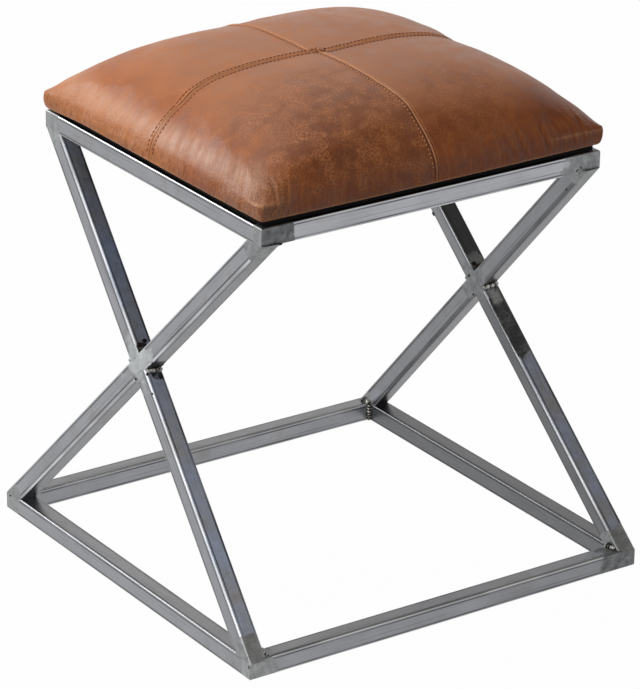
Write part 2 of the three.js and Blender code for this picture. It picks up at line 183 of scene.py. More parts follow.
studioSettings = {
    "surroundStrength": 0.13,  # what the surround gives to matt surfaces
    "ceilingColour": "#e9e5de", "ceilingStrength": (0.55, 0.16),  # what shiny surfaces find overhead
    # Sines of heights: from the wall to the ceiling, then to the ceiling's dim middle
    "ceilingStart": (0.22, 0.62), "ceilingEnd": (0.66, 0.84),
    "floorColour": "#acacaa", "floorRadius": 12.0, "floorWhiteShare": 0.985, "floorShineShare": 0.74,
    "keyPlace": (-1.55, 2.2, 1.45), "keySize": 1.3, "keyPower": 26,
    "sidePlace": (-2.2, -0.55, 1.9), "sideSize": 1.5, "sidePower": 24,
    "topPlace": (-0.2, 1.0, 2.7), "topSize": 2.0, "topPower": 24,
}


def seenDirectly(add, cameraShare, shineShare):
    # How white a surface is to the camera, and to rays off shiny and clear surfaces
    path = add("LightPath").outputs
    shiny = add("Math", path["Is Glossy Ray"], path["Is Transmission Ray"], operation="MAXIMUM")
    toShiny = shareOf(add, shiny, shineShare)
    return add("Math", path["Is Camera Ray"], cameraShare, toShiny, operation="MULTIPLY_ADD")


def addSurround():
    s = studioSettings
    scene.world = bpy.data.worlds.new("pale_surround")
    scene.world.use_nodes = True
    scene.world.node_tree.nodes.clear()
    add = partial(addNode, scene.world.node_tree)
    matt = add("Background", "#ffffff", s["surroundStrength"])
    white = add("Background", "#ffffff", 1.0)
    height = add("SeparateXYZ", add("TexCoord").outputs["Generated"]).outputs["Z"]
    ceilingShare = add("MapRange", height, *s["ceilingStart"], interpolation_type="SMOOTHSTEP")
    dimming = add("MapRange", height, *s["ceilingEnd"], *s["ceilingStrength"])
    ceiling = add("Background", s["ceilingColour"], dimming)
    room = add("MixShader", ceilingShare, white, ceiling)
    reflected = add("MixShader", seenDirectly(add, 0.0, 1.0), matt, room)
    add("OutputWorld", add("MixShader", seenDirectly(add, 1.0, 0.0), reflected, white))


def addFloor():
    bm = bmesh.new()
    bmesh.ops.create_circle(bm, cap_ends=True, segments=64, radius=studioSettings["floorRadius"])
    bmesh.ops.translate(bm, verts=bm.verts, vec=(0, 0, -0.2 * mm))
    floor = meshObject("studio_floor", bm)
    # Matt painted studio floor: it takes a faint shadow, and is white where it is seen directly
    material, add, place = startMaterial("matt_painted_floor")
    share = seenDirectly(add, studioSettings["floorWhiteShare"], studioSettings["floorShineShare"])
    add("OutputMaterial", add("MixShader", share, add("BsdfDiffuse", studioSettings["floorColour"]),
                              add("Emission", "#ffffff", 1.0)))
    floor.data.materials.append(material)


def addLamp(name, place, size, power):
    light = bpy.data.lights.new(name, "AREA")
    light.shape = "SQUARE"
    light.size = size
    light.energy = power
    lamp = bpy.data.objects.new(name, light)
    lamp.location = place
    lamp.rotation_euler = (Vector((0, 0, 0.3)) - Vector(place)).to_track_quat("-Z", "Y").to_euler()
    scene.collection.objects.link(lamp)


addSurround()
addFloor()
for lampName in ("key", "side", "top"):
    addLamp(lampName + "_lamp", studioSettings[lampName + "Place"],
            studioSettings[lampName + "Size"], studioSettings[lampName + "Power"])
print("camera and studio ready")


# Bare mild steel tube: cold rolled and seam welded, then left unpainted under a clear wax.
# It gives a satin grey with fine lines along the tube, and dull ground patches at the joints.

steelSettings = {
    "light": "#acadb1", "dark": "#96979b", "patchDark": "#58585a", "patchLight": "#d6dada",
    "stain": "#857b70", "scratch": "#5c5d60", "crest": "#e9ebee", "burnt": "#191817", "beside": "#3f4043",
    "scaleBlue": "#76839f", "scaleBrown": "#77736e",
    "roughness": 0.31, "patchWobble": 7,  # millimetres
    # Mill lines, drag marks and grinding marks: size along and across in millimetres, detail, roughness.
    # Real mill lines are about 0.1 mm apart, too fine to show.
    "grains": [(160, 1.4, 3.0, 0.6), (181.8, 1.613, 1.0), (1.786, 16.67)],
    # Clouds, stains, smears, rubbing and wandering edges: size in millimetres, detail, roughness
    "patterns": [(60, 4.0, 0.62), (41.67, 5.0, 0.7), (7.692, 4.0, 0.7), (62.5, 1.0), (18.18, 3.0)],
}
# Tones at each tube's start and end, where they aren't 1: painted light and shade for the brighter and darker
# surroundings that each tube reflects
tubeTones = {"top_rail_front": (1.26, 1.26), "base_rail_front": (0.98, 0.74), "base_rail_right": (0.54, 0.54),
             "base_rail_back": (0.9, 0.9), "right_leg_through": (0.76, 0.76),
             "right_leg_upper_half": (0.76, 0.76), "right_leg_lower_half": (0.52, 0.54)}
# The face of each leg that looks down or forwards: its own tone, painted darker or lighter for what that face
# reflects, and how much blue grey mill scale colour is painted on it, partly real scale and partly painted dark
# reflection
innerFaces = {"left_leg_through": (0.74, 0), "left_leg_upper_half": (1.1, 1), "left_leg_lower_half": (1.38, 0.7),
              "right_leg_through": (0.72, 0), "right_leg_upper_half": (0.36, 0), "right_leg_lower_half": (1.95, 0.8)}
# Rails and legs whose bends carry a painted dark line of shade instead of a painted highlight: how far from the
# corner's bright line these count, in millimetres
bendDepths = {"base_rail_right": 0.2, "base_rail_left": 0.12, "right_leg_through": 0.25}


def steelTubeMaterial():
    s = steelSettings
    material, add, place = startMaterial("cold_rolled_mild_steel")
    uv = add("UVMap", uv_map="alongTube")
    lines, drag, grind = (add("TexNoise", add("Mapping", {
        "Vector": uv, "Scale": (1 / (along * mm), 1 / (across * mm), 1)}), 1.0, *look)
        for along, across, *look in s["grains"])
    cloud, stain, smear, bendVariation, wobble = (
        add("TexNoise", place, 1 / (size * mm), *look) for size, *look in s["patterns"])
    tubeTone, corner, dull, edge, patchTone = (add("Attribute", attribute_name=name).outputs["Fac"] for name in (
        "tubeTone", "fromCorner", "scaleAndReflection", "patchEdge", "patchTone"))
    # Faint brown storage stains and a few long drag marks
    plain = layered(add, s["dark"], (s["light"], (add("Math", lines, cloud), 0.7, 1.3)),
                    (s["stain"], (stain, 0.56, 0.72, 0.0, 0.35)), (s["scratch"], (drag, 0.66, 0.72, 0.0, 0.55)))
    toned = add("VectorMath", plain, tubeTone, operation="SCALE")
    # Mill scale is blue in some places and brown in others. On the leg faces listed above it also stands in for dark
    # reflections: painted reflection
    scaleColour = layered(add, s["scaleBlue"], (s["scaleBrown"], (stain, 0.36, 0.7)))
    scaleTone = shareOf(add, tubeTone, (smear, 0.3, 0.7, 1.1, 1.75))
    scale = add("VectorMath", scaleColour, scaleTone, operation="SCALE")
    # A painted highlight runs along the rolled corners, with a painted dark line of shade beside them; on the bends
    # listed as dark, the painted shade covers the bend and the highlight is left out
    paintedLight = layered(
        add, toned, (scale, dull, 0.7),
        (s["beside"], (corner, 0.0, 0.4 * mm), (corner, 0.9 * mm, 1.9 * mm, 1.0, 0.0), (bendVariation, 0.36, 0.6, 0.4, 0.9)),
        (s["crest"], (corner, -0.55 * mm, -1.2 * mm), (bendVariation, 0.62, 0.42, 0.3, 0.85)))
    # Ground places at the joints, with a wandering edge
    wobbleOut = add("MapRange", wobble, 0.0, 1.0, -s["patchWobble"] * mm, s["patchWobble"] * mm)
    patch = add("MapRange", add("Math", edge, wobbleOut), 0.0, 1.6 * mm, interpolation_type="SMOOTHSTEP")
    unevenness = add("Math", shareOf(add, grind, 0.2), add("MapRange", smear, 0.25, 0.75, 0.1, 0.5))
    groundTone = add("Math", unevenness, patchTone)
    ground = layered(add, s["patchDark"], (s["patchLight"], (groundTone, 0.15, 1.35)),
                     (s["burnt"], (groundTone, 0.2, -0.35)))
    # Roughness: lines catch the light unevenly, and scaled and ground places are duller
    lineRough = add("MapRange", lines, 0.3, 0.7, s["roughness"] - 0.05, s["roughness"] + 0.07)
    rough = add("Mix", patch, add("Mix", dull, lineRough, 0.62), 0.47)
    normal = add("Bump", {"Height": add("Mix", patch, lines, grind), "Strength": 0.16, "Distance": 0.10 * mm})
    add("OutputMaterial", add("BsdfPrincipled", {
        "Base Color": layered(add, paintedLight, (ground, patch)), "Metallic": 1.0, "Roughness": rough, "Normal": normal}))
    return material


def objectSteelMaterial(name, dark, light, roughness, mottleSize, gritSize):
    # Steel without a rolled direction: weld metal, hot rolled plate or zinc plating. Sizes in millimetres.
    material, add, place = startMaterial(name)
    mottle = add("TexNoise", place, 1 / (mottleSize * mm), 4.0, 0.65)
    rough = add("MapRange", mottle, 0.3, 0.7, roughness + 0.08, roughness - 0.06)
    grit = add("TexNoise", place, 1 / (gritSize * mm), 2.0)
    add("OutputMaterial", add("BsdfPrincipled", {
        "Base Color": layered(add, dark, (light, (mottle, 0.32, 0.68))), "Metallic": 1.0, "Roughness": rough,
        "Normal": add("Bump", {"Height": grit, "Strength": 0.35, "Distance": 0.2 * mm})}))
    return material


tubeSteel = steelTubeMaterial()
# Arc weld metal: cast in ripples and wire brushed, so its crests shine and its hollows stay brown
weldMetal = objectSteelMaterial(
    "brushed_arc_weld_metal", dark="#24211e", light="#d9d7d2", roughness=0.30, mottleSize=3.4, gritSize=0.9)
# Hot rolled plate: blue grey mill scale, duller than the tube
plateSteel = objectSteelMaterial(
    "hot_rolled_steel_plate", dark="#5a5c60", light="#7e8084", roughness=0.48, mottleSize=14, gritSize=1.2)
# Bright zinc plating over a cold headed screw
zincPlate = objectSteelMaterial(
    "bright_zinc_plating", dark="#a6a9ad", light="#c9ccd0", roughness=0.28, mottleSize=5, gritSize=0.8)
# Welding slag and burnt spots: glassy black oxide
slagOxide = objectSteelMaterial(
    "weld_slag_oxide", dark="#1d1b19", light="#39342f", roughness=0.5, mottleSize=1.2, gritSize=0.6)
print("steel materials ready")


# Square tubes, mitred in the rings and cut to their places in the legs

tubeSettings = {
    "size": 19.0, "wall": 1.5, "edgeRadius": 2.0, "legEdgeRadius": 2.5, "edgeSegments": 5, "ringSpacing": 4.0,
    "topWidth": 380.0, "baseWidth": 448.0, "frameHeight": 428.0,
    "legOverlap": 2.0,  # how far a leg's end is sunk into the rounded edge that it is welded to
    "sectionPoints": (-1, -0.42, 0, 0.42),  # on each flat side, as shares of half its width
    "darkBend": 0.7,  # how far from the corner's bright line a bend with painted shade counts
    # Painted shade on the top ring under the seat: where it starts under the top, where it ends in the bend, and its
    # darkness
    "shadeHeights": (-0.7, -0.2), "shadeEnd": (1.2, 1.9), "shadeDarkness": 0.88,
}
tubeSize = tubeSettings["size"]
half = tubeSize / 2
topHalf, baseHalf = tubeSettings["topWidth"] / 2, tubeSettings["baseWidth"] / 2
frameHeight = tubeSettings["frameHeight"]
headHeight = frameHeight - tubeSize


def planeDistance(plane, origin, axis):
    point, normal = plane
    return (Vector(point) - origin).dot(Vector(normal)) / axis.dot(Vector(normal))


def perimeterAt(x, y, reach):
    # Way round the square section, from its lower left corner
    if abs(y) >= abs(x):
        return reach + x if y < 0 else 5 * reach - x
    return 3 * reach + y if x > 0 else 7 * reach - y


def squareTube(name, origin, axis, sideways, startPlane, endPlane, patches):
    s = tubeSettings
    origin, axis, sideways = Vector(origin), Vector(axis).normalized(), Vector(sideways).normalized()
    upwards = axis.cross(sideways)
    radius = s["legEdgeRadius" if "leg" in name else "edgeRadius"]
    flat = half - radius
    # The section: a rounded square with a bore, drawn out to a height of 1 and cut into rings
    bm = bmesh.new()
    outline = []
    for turn in range(4):
        spin = Matrix.Rotation(turn * math.pi / 2, 4, "Z")
        outline += [bm.verts.new(spin @ Vector((x * half, -half, 0))) for x in s["sectionPoints"]]
    bm.faces.new(outline)
    bmesh.ops.bevel(bm, geom=outline[::4], offset=radius, offset_type="OFFSET",
                    segments=s["edgeSegments"], profile=0.5, affect="VERTICES", material=-1)
    bore = bm.faces[:]
    bmesh.ops.inset_individual(bm, faces=bore, thickness=s["wall"], use_even_offset=True)
    bmesh.ops.delete(bm, geom=bore, context="FACES_ONLY")
    grown = bmesh.ops.extrude_face_region(bm, geom=bm.faces[:])["geom"]
    bmesh.ops.translate(bm, verts=ofKind(grown, "BMVert"), vec=(0, 0, 1))
    length = planeDistance(endPlane, origin, axis) - planeDistance(startPlane, origin, axis)
    long = [e for e in bm.edges if abs(e.verts[0].co.z - e.verts[1].co.z) > 0.5]
    bmesh.ops.subdivide_edges(bm, edges=long, cuts=int(length / s["ringSpacing"]))
    bmesh.ops.recalc_face_normals(bm, faces=bm.faces)
    for face in bm.faces:
        if abs(face.normal.z) > 0.9:
            for edge in face.edges:
                edge.smooth = False
    uvLayer = bm.loops.layers.uv.new("alongTube")
    edgeLayer, toneLayer, tubeLayer, scaleLayer, cornerLayer = floatLayers(
        bm, "patchEdge", "patchTone", "tubeTone", "scaleAndReflection", "fromCorner")
    startTone, endTone = tubeTones.get(name, (1.0, 1.0))
    faceTone, dullness = innerFaces.get(name, (1.0, 0))
    around = 4 * tubeSize
    placed = {}
    for vert in bm.verts:
        x, y, share = vert.co
        foot = origin + sideways * x + upwards * y
        start, end = (planeDistance(p, foot, axis) for p in (startPlane, endPlane))
        along = start + (end - start) * share
        # The bore's points take the values of the outside that they lie under
        reach = max(abs(x), abs(y))
        outX, outY = x * half / reach, y * half / reach
        intoBend = min(abs(outX), abs(outY)) - flat
        placed[vert] = (foot + axis * along, along, perimeterAt(x, y, reach) * half / reach)
        depth, tone = max(((patchDepth(p, along, outX, outY), p[2]) for p in patches), key=lambda found: found[0])
        vert[edgeLayer] = depth * mm
        vert[toneLayer] = tone
        onInner = smoothStep(flat, half, -outY)
        vert[tubeLayer] = (startTone + (endTone - startTone) * share) * (1 + (faceTone - 1) * onInner)
        vert[scaleLayer] = dullness * onInner
        # The listed rails' bends, and the legs' bends on their sides that face into the stool, get painted shade
        # instead of a painted highlight
        bendDark = intoBend > -0.1 and (name in bendDepths or x > 0 and "leg" in name)
        if name.startswith("top_rail"):
            # The top ring is painted dark under the board, up to the turn of its outer corner: painted shade under the
            # cushion, with no painted highlight on that part of the bend
            height = sideways.z * outX + upwards.z * outY
            underSeatShade = smoothStep(*s["shadeHeights"], height - half) * (1 - smoothStep(*s["shadeEnd"], intoBend))
            vert[tubeLayer] *= 1 - s["shadeDarkness"] * underSeatShade
            bendDark = underSeatShade > 0.5
        vert[cornerLayer] = (bendDepths.get(name, s["darkBend"]) if bendDark else -intoBend) * mm
    for face in bm.faces:
        middle = sum(placed[v][2] for v in face.verts) / len(face.verts)
        for loop in face.loops:
            point, along, way = placed[loop.vert]
            if way - middle > around / 2:
                way -= around
            elif middle - way > around / 2:
                way += around
            loop[uvLayer].uv = (along * mm, way * mm)
    for vert, (point, along, way) in placed.items():
        vert.co = point * mm
    piece = addPiece(name, bm, tubeSteel, "bare_steel", name)
    piece.modifiers.new("flat faces", "WEIGHTED_NORMAL").keep_sharp = True


def patchDepth(patch, along, x, y):
    # How far inside a ground place a point of the tube lies, in millimetres
    at, reach, tone, softness, *oval = patch
    if not oval:
        return (reach - abs(along - at)) / softness
    face, middle, width = oval
    beyond, across = (half + x, y) if face == "outer" else (half + y, x)
    return (1 - math.hypot((along - at) / reach, (across - middle) / width)) * reach / softness - 6 * beyond


def addRing(prefix, halfWidth, middle, patches):
    for label, x, y in (("front", 0, -1), ("back", 0, 1), ("left", -1, 0), ("right", 1, 0)):
        out, axis = Vector((x, y, 0)), Vector((abs(y), abs(x), 0))
        mitres = [((out + axis * end) * halfWidth, axis - out * end) for end in (-1, 1)]
        squareTube(f"{prefix}_rail_{label}", out * (halfWidth - half) + Vector((0, 0, middle)), axis,
                   (0, 0, 1) if x else (0, 1, 0), *mitres, patches[label])


# Where each tube was ground after welding: millimetres from its middle, reach to each side, darker or
# lighter, and how soft its edge is. An oval on one face also has the face, its place across and its half
# width: "outer" is the face that looks out of the X, "inner" the one below it.
groundPlaces = {
    "top": {
        "front": [(-190, 36, -0.13, 1), (190, 40, 0.08, 3)],
        "back": [(-190, 38, 0.0, 1), (190, 40, 0.1, 1)],
        "left": [(-190, 14, 0.2, 1), (190, 26, 0.25, 1)],
        "right": [(-190, 20, 0.15, 1), (190, 18, 0.3, 1)],
    },
    "base": {
        "front": [(-224, 30, 0.2, 2), (224, 40, -0.1, 2)],
        "back": [(-224, 30, 0.2, 1), (224, 26, 0.12, 1)],
        "left": [(-224, 16, 0.35, 1), (224, 26, 0.28, 1)],
        "right": [(-224, 28, 0.05, 3), (224, 20, 0.2, 1)],
    },
}
addRing("top", topHalf, frameHeight - half, groundPlaces["top"])
addRing("base", baseHalf, half, groundPlaces["base"])

# Legs: an X on each side, in a plane that leans in from the base ring to the smaller top ring
leanRun, leanRise = baseHalf - topHalf, headHeight - tubeSize
leanAngle = math.atan2(leanRun, leanRise)
slopeLength = math.hypot(leanRun, leanRise)
legRun = topHalf + baseHalf
legTilt = math.atan2(legRun, slopeLength) - math.asin(tubeSize / math.hypot(legRun, slopeLength))
legMiddleY = (baseHalf - topHalf) / 2
crossUp = slopeLength / 2 + legMiddleY / math.tan(legTilt)


def legFrame(side):
    # In one X's leaning plane: the middle of its foot, the ways out of the X, to the back and up the
    # slope, then the directions of the leg in one length and of the two halves
    out = Vector((math.cos(leanAngle), 0, side * math.sin(leanAngle)))
    slope = Vector((-side * math.sin(leanAngle), 0, math.cos(leanAngle)))
    back = Vector((0, 1, 0))
    rise, run = slope * math.cos(legTilt), back * math.sin(legTilt)
    return Vector((side * baseHalf, 0, tubeSize)) - out * side * half, out, back, slope, rise - run, rise + run


def addLegs(label, side, patches):
    foot, out, back, slope, throughAxis, halvesAxis = legFrame(side)
    sunk = tubeSettings["legOverlap"]
    footPlane, headPlane = (((0, 0, height), (0, 0, 1)) for height in (tubeSize - sunk, headHeight + sunk))
    centre, halvesCentre = (foot + back * y + slope * slopeLength / 2 for y in (legMiddleY, -legMiddleY))
    face = back * math.cos(legTilt) + slope * math.sin(legTilt)
    squareTube(f"{label}_leg_through", centre, throughAxis, out, footPlane, headPlane, patches["through"])
    squareTube(f"{label}_leg_upper_half", halvesCentre, halvesAxis, out,
               (centre + face * (half - sunk), face), headPlane, patches["upper"])
    squareTube(f"{label}_leg_lower_half", halvesCentre, halvesAxis, out,
               footPlane, (centre - face * (half - sunk), face), patches["lower"])


crossAlong = legMiddleY / math.sin(legTilt)  # from a leg's middle to the crossing
footPatch, headPatch = (-275, 14, 0.2, 1), (275, 14, 0.15, 1)
legPatches = {
    "left": {
        "through": [(crossAlong + 8, 30, 0.6, 9, "outer", 0, 15), footPatch, headPatch,
                    (crossAlong + 15, 14, -0.5, 2, "inner", -2, 12)],
        "upper": [(crossAlong + 6, 30, 0.5, 9, "outer", 0, 14), (275, 16, 0.3, 1),
                  (crossAlong + 12, 8, -0.4, 2, "inner", 0, 12)],
        "lower": [(crossAlong - 6, 32, 0.5, 9, "outer", 0, 13), (-275, 18, 0.2, 1),
                  (crossAlong - 11, 10.5, -0.6, 2, "inner", 0, 14)],
    },
    "right": {
        "through": [(crossAlong, 24, 0.05, 1, "outer", 0, 17), footPatch, headPatch,
                    (crossAlong + 14, 9, -0.45, 2, "inner", 0, 12)],
        "upper": [(crossAlong + 6, 20, 0.05, 2, "outer", 0, 12), (275, 16, 0.1, 1),
                  (crossAlong + 18, 14, 0.0, 2, "inner", -2, 9)],
        "lower": [(crossAlong - 6, 22, 0.05, 2, "outer", 0, 12), (-275, 18, 0.1, 1),
                  (crossAlong - 25, 13, 0.3, 1.5, "inner", 0, 10),
                  # The last place here is a wide dark oval near the crossing: painted shade, not grinding
                  (crossAlong - 52, 46, -0.26, 5, "inner", 0, 26)],
    },
}
legSides = {"left": -1, "right": 1}
for legLabel, legSide in legSides.items():
    addLegs(legLabel, legSide, legPatches[legLabel])
print("rings and legs built")


# Weld beads: a round section run along each joint, with ripples where the pool froze

beadSettings = {
    "ringSize": 5.0, "crossSize": 5.4, "legSize": 5.0,
    "widthShare": 0.66, "sinkShare": 0.40,  # of the bead's size
    "ripplePitch": 3.1, "rippleDepth": 0.26, "crossRippleDepth": 0.1, "stepLength": 0.72, "segments": 14,
    "endShare": 0.45, "endSteepness": 4.5, "roughness": 0.07, "drift": 0.45, "flatness": 0.86,
}


def weldBead(name, edgeMiddle, faceA, faceB, size, length, seed, metal=weldMetal):
    s = beadSettings
    along = faceA.cross(faceB).normalized()
    outwards = (faceA + faceB).normalized()
    radius = size * s["widthShare"]
    steps = max(int(length / s["stepLength"]), 6)
    rippleDepth = s["crossRippleDepth" if "cross" in name else "rippleDepth"]
    bm = bmesh.new()
    wide, place = radius * s["endShare"], Vector((0, 0, 0))
    bmesh.ops.create_circle(bm, cap_ends=True, segments=s["segments"], radius=wide)
    cap = next(iter(bm.faces))
    for step in range(1, steps + 1):
        way = step / steps
        lastWide, lastPlace = wide, place
        taper = min(1, s["endShare"] + s["endSteepness"] * min(way, 1 - way))
        ripple = 1 - rippleDepth * ((way * length / s["ripplePitch"]) % 1.0)
        rough = 1 + s["roughness"] * noise.noise((step * 0.7, seed * 3.1, 0))
        wide = radius * taper * ripple * rough
        place = Vector([noise.noise((step * 0.35, seed, z)) for z in (5, 9)] + [0]) * s["drift"]
        place.z = way * length
        cap, = ofKind(bmesh.ops.extrude_face_region(bm, geom=[cap])["geom"], "BMFace")
        verts = list(cap.verts)
        bmesh.ops.translate(bm, verts=verts, vec=place - lastPlace)
        scale = wide / lastWide
        bmesh.ops.scale(bm, verts=verts, vec=(scale, scale, 1), space=Matrix.Translation(-place))
    for face in [f for f in bm.faces if len(f.verts) > 4]:
        bmesh.ops.poke(bm, faces=[face])
    bmesh.ops.recalc_face_normals(bm, faces=bm.faces)
    centre = edgeMiddle + outwards * size * s["sinkShare"] - along * length / 2
    sideways = along.cross(outwards)
    turn = Matrix((outwards * s["flatness"], sideways, along)).transposed().to_4x4()
    bmesh.ops.transform(bm, matrix=Matrix.Diagonal((mm, mm, mm, 1)) @ Matrix.Translation(centre) @ turn,
                        verts=bm.verts)
    addPiece(name, bm, metal, "weld_metal", name)


cornerSigns = {"front_left": (-1, -1), "front_right": (1, -1), "back_right": (1, 1), "back_left": (-1, 1)}


def addRingBeads(prefix, halfWidth, low, high):
    for order, (label, (x, y)) in enumerate(cornerSigns.items()):
        edge = Vector((x * (halfWidth - tubeSize), y * (halfWidth - tubeSize), (low + high) / 2))
        weldBead(f"{prefix}_{label}", edge, Vector((-x, 0, 0)), Vector((0, -y, 0)),
                 beadSettings["ringSize"], high - low, order + high)


def addCrossBeads(label, side):
    foot, out, back, slope, throughUp, halvesUp = legFrame(side)
    reachBack = half / math.cos(legTilt)
    reachUp = half / math.sin(legTilt)
    angles = {
        "front": (-reachBack, 0, throughUp, -halvesUp), "back": (reachBack, 0, -throughUp, halvesUp),
        "upper": (0, reachUp, throughUp, halvesUp), "lower": (0, -reachUp, -throughUp, -halvesUp),
    }
    for order, (place, (y, up, faceA, faceB)) in enumerate(angles.items()):
        weldBead(f"{label}_cross_weld_{place}", foot + back * y + slope * (crossUp + up), faceA, faceB,
                 beadSettings["crossSize"], tubeSize - 2, order + 20 + side,
                 slagOxide if place == "upper" else weldMetal)


def addLegBeads(prefix, halfWidth, height, upwards):
    setBack = beadSettings["legSize"] * 1.25
    length = tubeSize - setBack
    for order, (label, (x, y)) in enumerate(cornerSigns.items()):
        edge = Vector((x * (halfWidth - tubeSize / math.cos(leanAngle)),
                       y * (halfWidth - setBack - length / 2), height))
        alongLeg = Vector((-x * math.sin(leanAngle), 0, math.cos(leanAngle))) * upwards
        weldBead(f"{prefix}_{label}", edge, Vector((-x, 0, 0)), alongLeg,
                 beadSettings["legSize"], length, order + height)


addRingBeads("top_ring_weld", topHalf, headHeight + 1, frameHeight - 3.4)
addRingBeads("base_ring_weld", baseHalf, 0.8, tubeSize - 0.8)
for legLabel, legSide in legSides.items():
    addCrossBeads(legLabel, legSide)
addLegBeads("leg_head_weld", topHalf, headHeight, -1)
addLegBeads("leg_foot_weld", baseHalf, tubeSize, 1)


# Side (-1 left), kind of leg, face, millimetres along and across it, and half sizes along, across and out
slagSpots = [
    (-1, "through", "outer", 13.5, -8.9, (1.4, 1.2, 0.5)), (-1, "half", "outer", -9.0, -8.2, (1.3, 0.9, 0.9)),
    (-1, "half", "inner", 40.5, -5.5, (3.4, 2.6, 1.0)), (-1, "half", "inner", 44.5, 2.0, (2.2, 2.8, 0.7)),
    (-1, "half", "inner", 10.5, -8.4, (1.5, 1.3, 1.0)), (-1, "through", "inner", 41.0, 6.5, (2.0, 1.5, 0.8)),
    (1, "through", "outer", 13.0, -7.6, (1.7, 1.1, 0.5)), (1, "through", "outer", 22.0, 9.6, (3.2, 1.1, 0.8)),
    (1, "half", "inner", 40.5, -4.5, (2.4, 2.6, 0.6)), (1, "half", "outer", 108.0, 8.3, (2.6, 1.2, 0.9)),
    (1, "through", "outer", 247.0, -6.6, (1.7, 1.0, 0.4)),
]
# On the rails: place, direction along, way out, and half sizes
railSpots = [
    ((163.0, -190.0, 412.6), (0.8, 0, 0.6), (0, -1, 0), (2.0, 0.7, 0.4)),
    ((167.5, -190.0, 414.6), (0.7, 0, -0.7), (0, -1, 0), (1.3, 0.6, 0.4)),
    ((-198.6, -206.0, 19.0), (0.8, 0.6, 0), (0, 0, 1), (1.9, 1.0, 0.6)),
    ((-201.5, -220.5, 19.0), (1, 0, 0), (0, 0, 1), (1.2, 0.7, 0.5)),
    ((-224.0, 217.0, 16.0), (0, 0.9, -0.43), (-1, 0, 0), (2.2, 1.0, 0.4)),
    ((-224.0, -222.4, 13.5), (0, 0.3, 0.95), (-1, 0, 0), (1.8, 0.7, 0.5)),
    ((-170.5, -190.0, 409.4), (1, 0, 0), (0, -1, 0), (3.0, 1.1, 0.9)),
]


def addSlagSpots():
    # Drops of slag and spatter near the joints
    spots = []
    for side, kind, face, along, across, size in slagSpots:
        foot, out, back, slope, throughAxis, halvesAxis = legFrame(side)
        axis, tilt = (halvesAxis, 1) if kind == "half" else (throughAxis, -1)
        upwards = axis.cross(out)
        middle = foot - back * legMiddleY * tilt + slope * slopeLength / 2 + axis * along
        normal, sideways = (-out, upwards) if face == "outer" else (-upwards, out)
        spots.append((middle + normal * half + sideways * across, axis, normal, size))
    spots += [(*(Vector(v) for v in directions), size) for *directions, size in railSpots]
    bm = bmesh.new()
    for number, (place, axis, normal, size) in enumerate(spots):
        made = bmesh.ops.create_icosphere(bm, subdivisions=2, radius=1)["verts"]
        for vert in made:
            vert.co *= 1 + 0.22 * noise.noise(vert.co * 1.4 + Vector((number * 5.3, 0, 0)))
        turn = Matrix((axis, normal.cross(axis), normal)).transposed().to_4x4()
        bmesh.ops.transform(bm, verts=made, matrix=(
            Matrix.Diagonal((mm, mm, mm, 1)) @ Matrix.Translation(place) @ turn @ Matrix.Diagonal((*size, 1))))
    addPiece("weld_slag_spots", bm, slagOxide, "weld_metal")


addSlagSpots()
print("weld beads built")


# Pan head screws, cold headed and threaded, with a cross recess

screwSettings = {
    "shank": 2.1, "core": 1.6, "head": 4.2, "headHeight": 2.8, "length": 21.2, "tip": 4.0,
    "threadPitch": 1.4, "recessReach": 2.4, "recessWidth": 0.62, "recessDepth": 1.5,
    "inset": 14.0, "seatHeight": 424.7,
}


def addScrews():
    s = screwSettings
    profile = [(0, -s["headHeight"])]
    profile += [(r, -s["headHeight"] + 0.012 * r ** 3) for r in (0.35, 0.7, 1.1, 1.5, 1.9, 2.3, 2.7, 3.2)]
    profile += [(3.8, -s["headHeight"] + 1.1), (s["head"], -s["headHeight"] + 1.9), (s["head"], 0),
                (s["shank"], 0)]
    height = 0.6
    while height < s["length"] - 0.8:
        taper = min(1, (s["length"] - height) / s["tip"])
        profile += [(s["core"] * taper, height), (s["shank"] * taper, height + s["threadPitch"] / 2)]
        height += s["threadPitch"]
    profile.append((0, s["length"]))
    for label, (x, y) in cornerSigns.items():
        bm = bmesh.new()
        verts = [bm.verts.new((r, 0, z)) for r, z in profile]
        edges = [bm.edges.new(pair) for pair in zip(verts, verts[1:])]
        bmesh.ops.spin(bm, geom=verts + edges, cent=(0, 0, 0), axis=(0, 0, 1), angle=2 * math.pi,
                       steps=32, use_merge=True)
        bmesh.ops.remove_doubles(bm, verts=bm.verts, dist=0.01)
        for vert in bm.verts:
            reach = vert.co.xy.length
            acrossArm = min(abs(vert.co.x), abs(vert.co.y))
            if vert.co.z < -s["headHeight"] * 0.7 and reach < s["recessReach"] and acrossArm < s["recessWidth"]:
                vert.co.z += s["recessDepth"] * (1 - 0.35 * reach / s["recessReach"])
        bmesh.ops.recalc_face_normals(bm, faces=bm.faces)
        fromMiddle = topHalf - tubeSize - s["inset"]
        bmesh.ops.translate(bm, verts=bm.verts, vec=(x * fromMiddle, y * fromMiddle, s["seatHeight"]))
        inMetres(bm)
        addPiece(f"seat_screw_{label}", bm, zincPlate, "zinc_screw", f"seat_screw_{label}")


addScrews()


# Boards that keep their own solids: only their materials are made here

boardSettings = {
    # Millimetres. The real felt's fibres are finer than they could show.
    "dustSize": 16.67, "pebbleSize": 1.429, "grainSizes": (125, 3.846, 3.846), "twoPlies": 3.0, "fibreSize": 1.111,
}


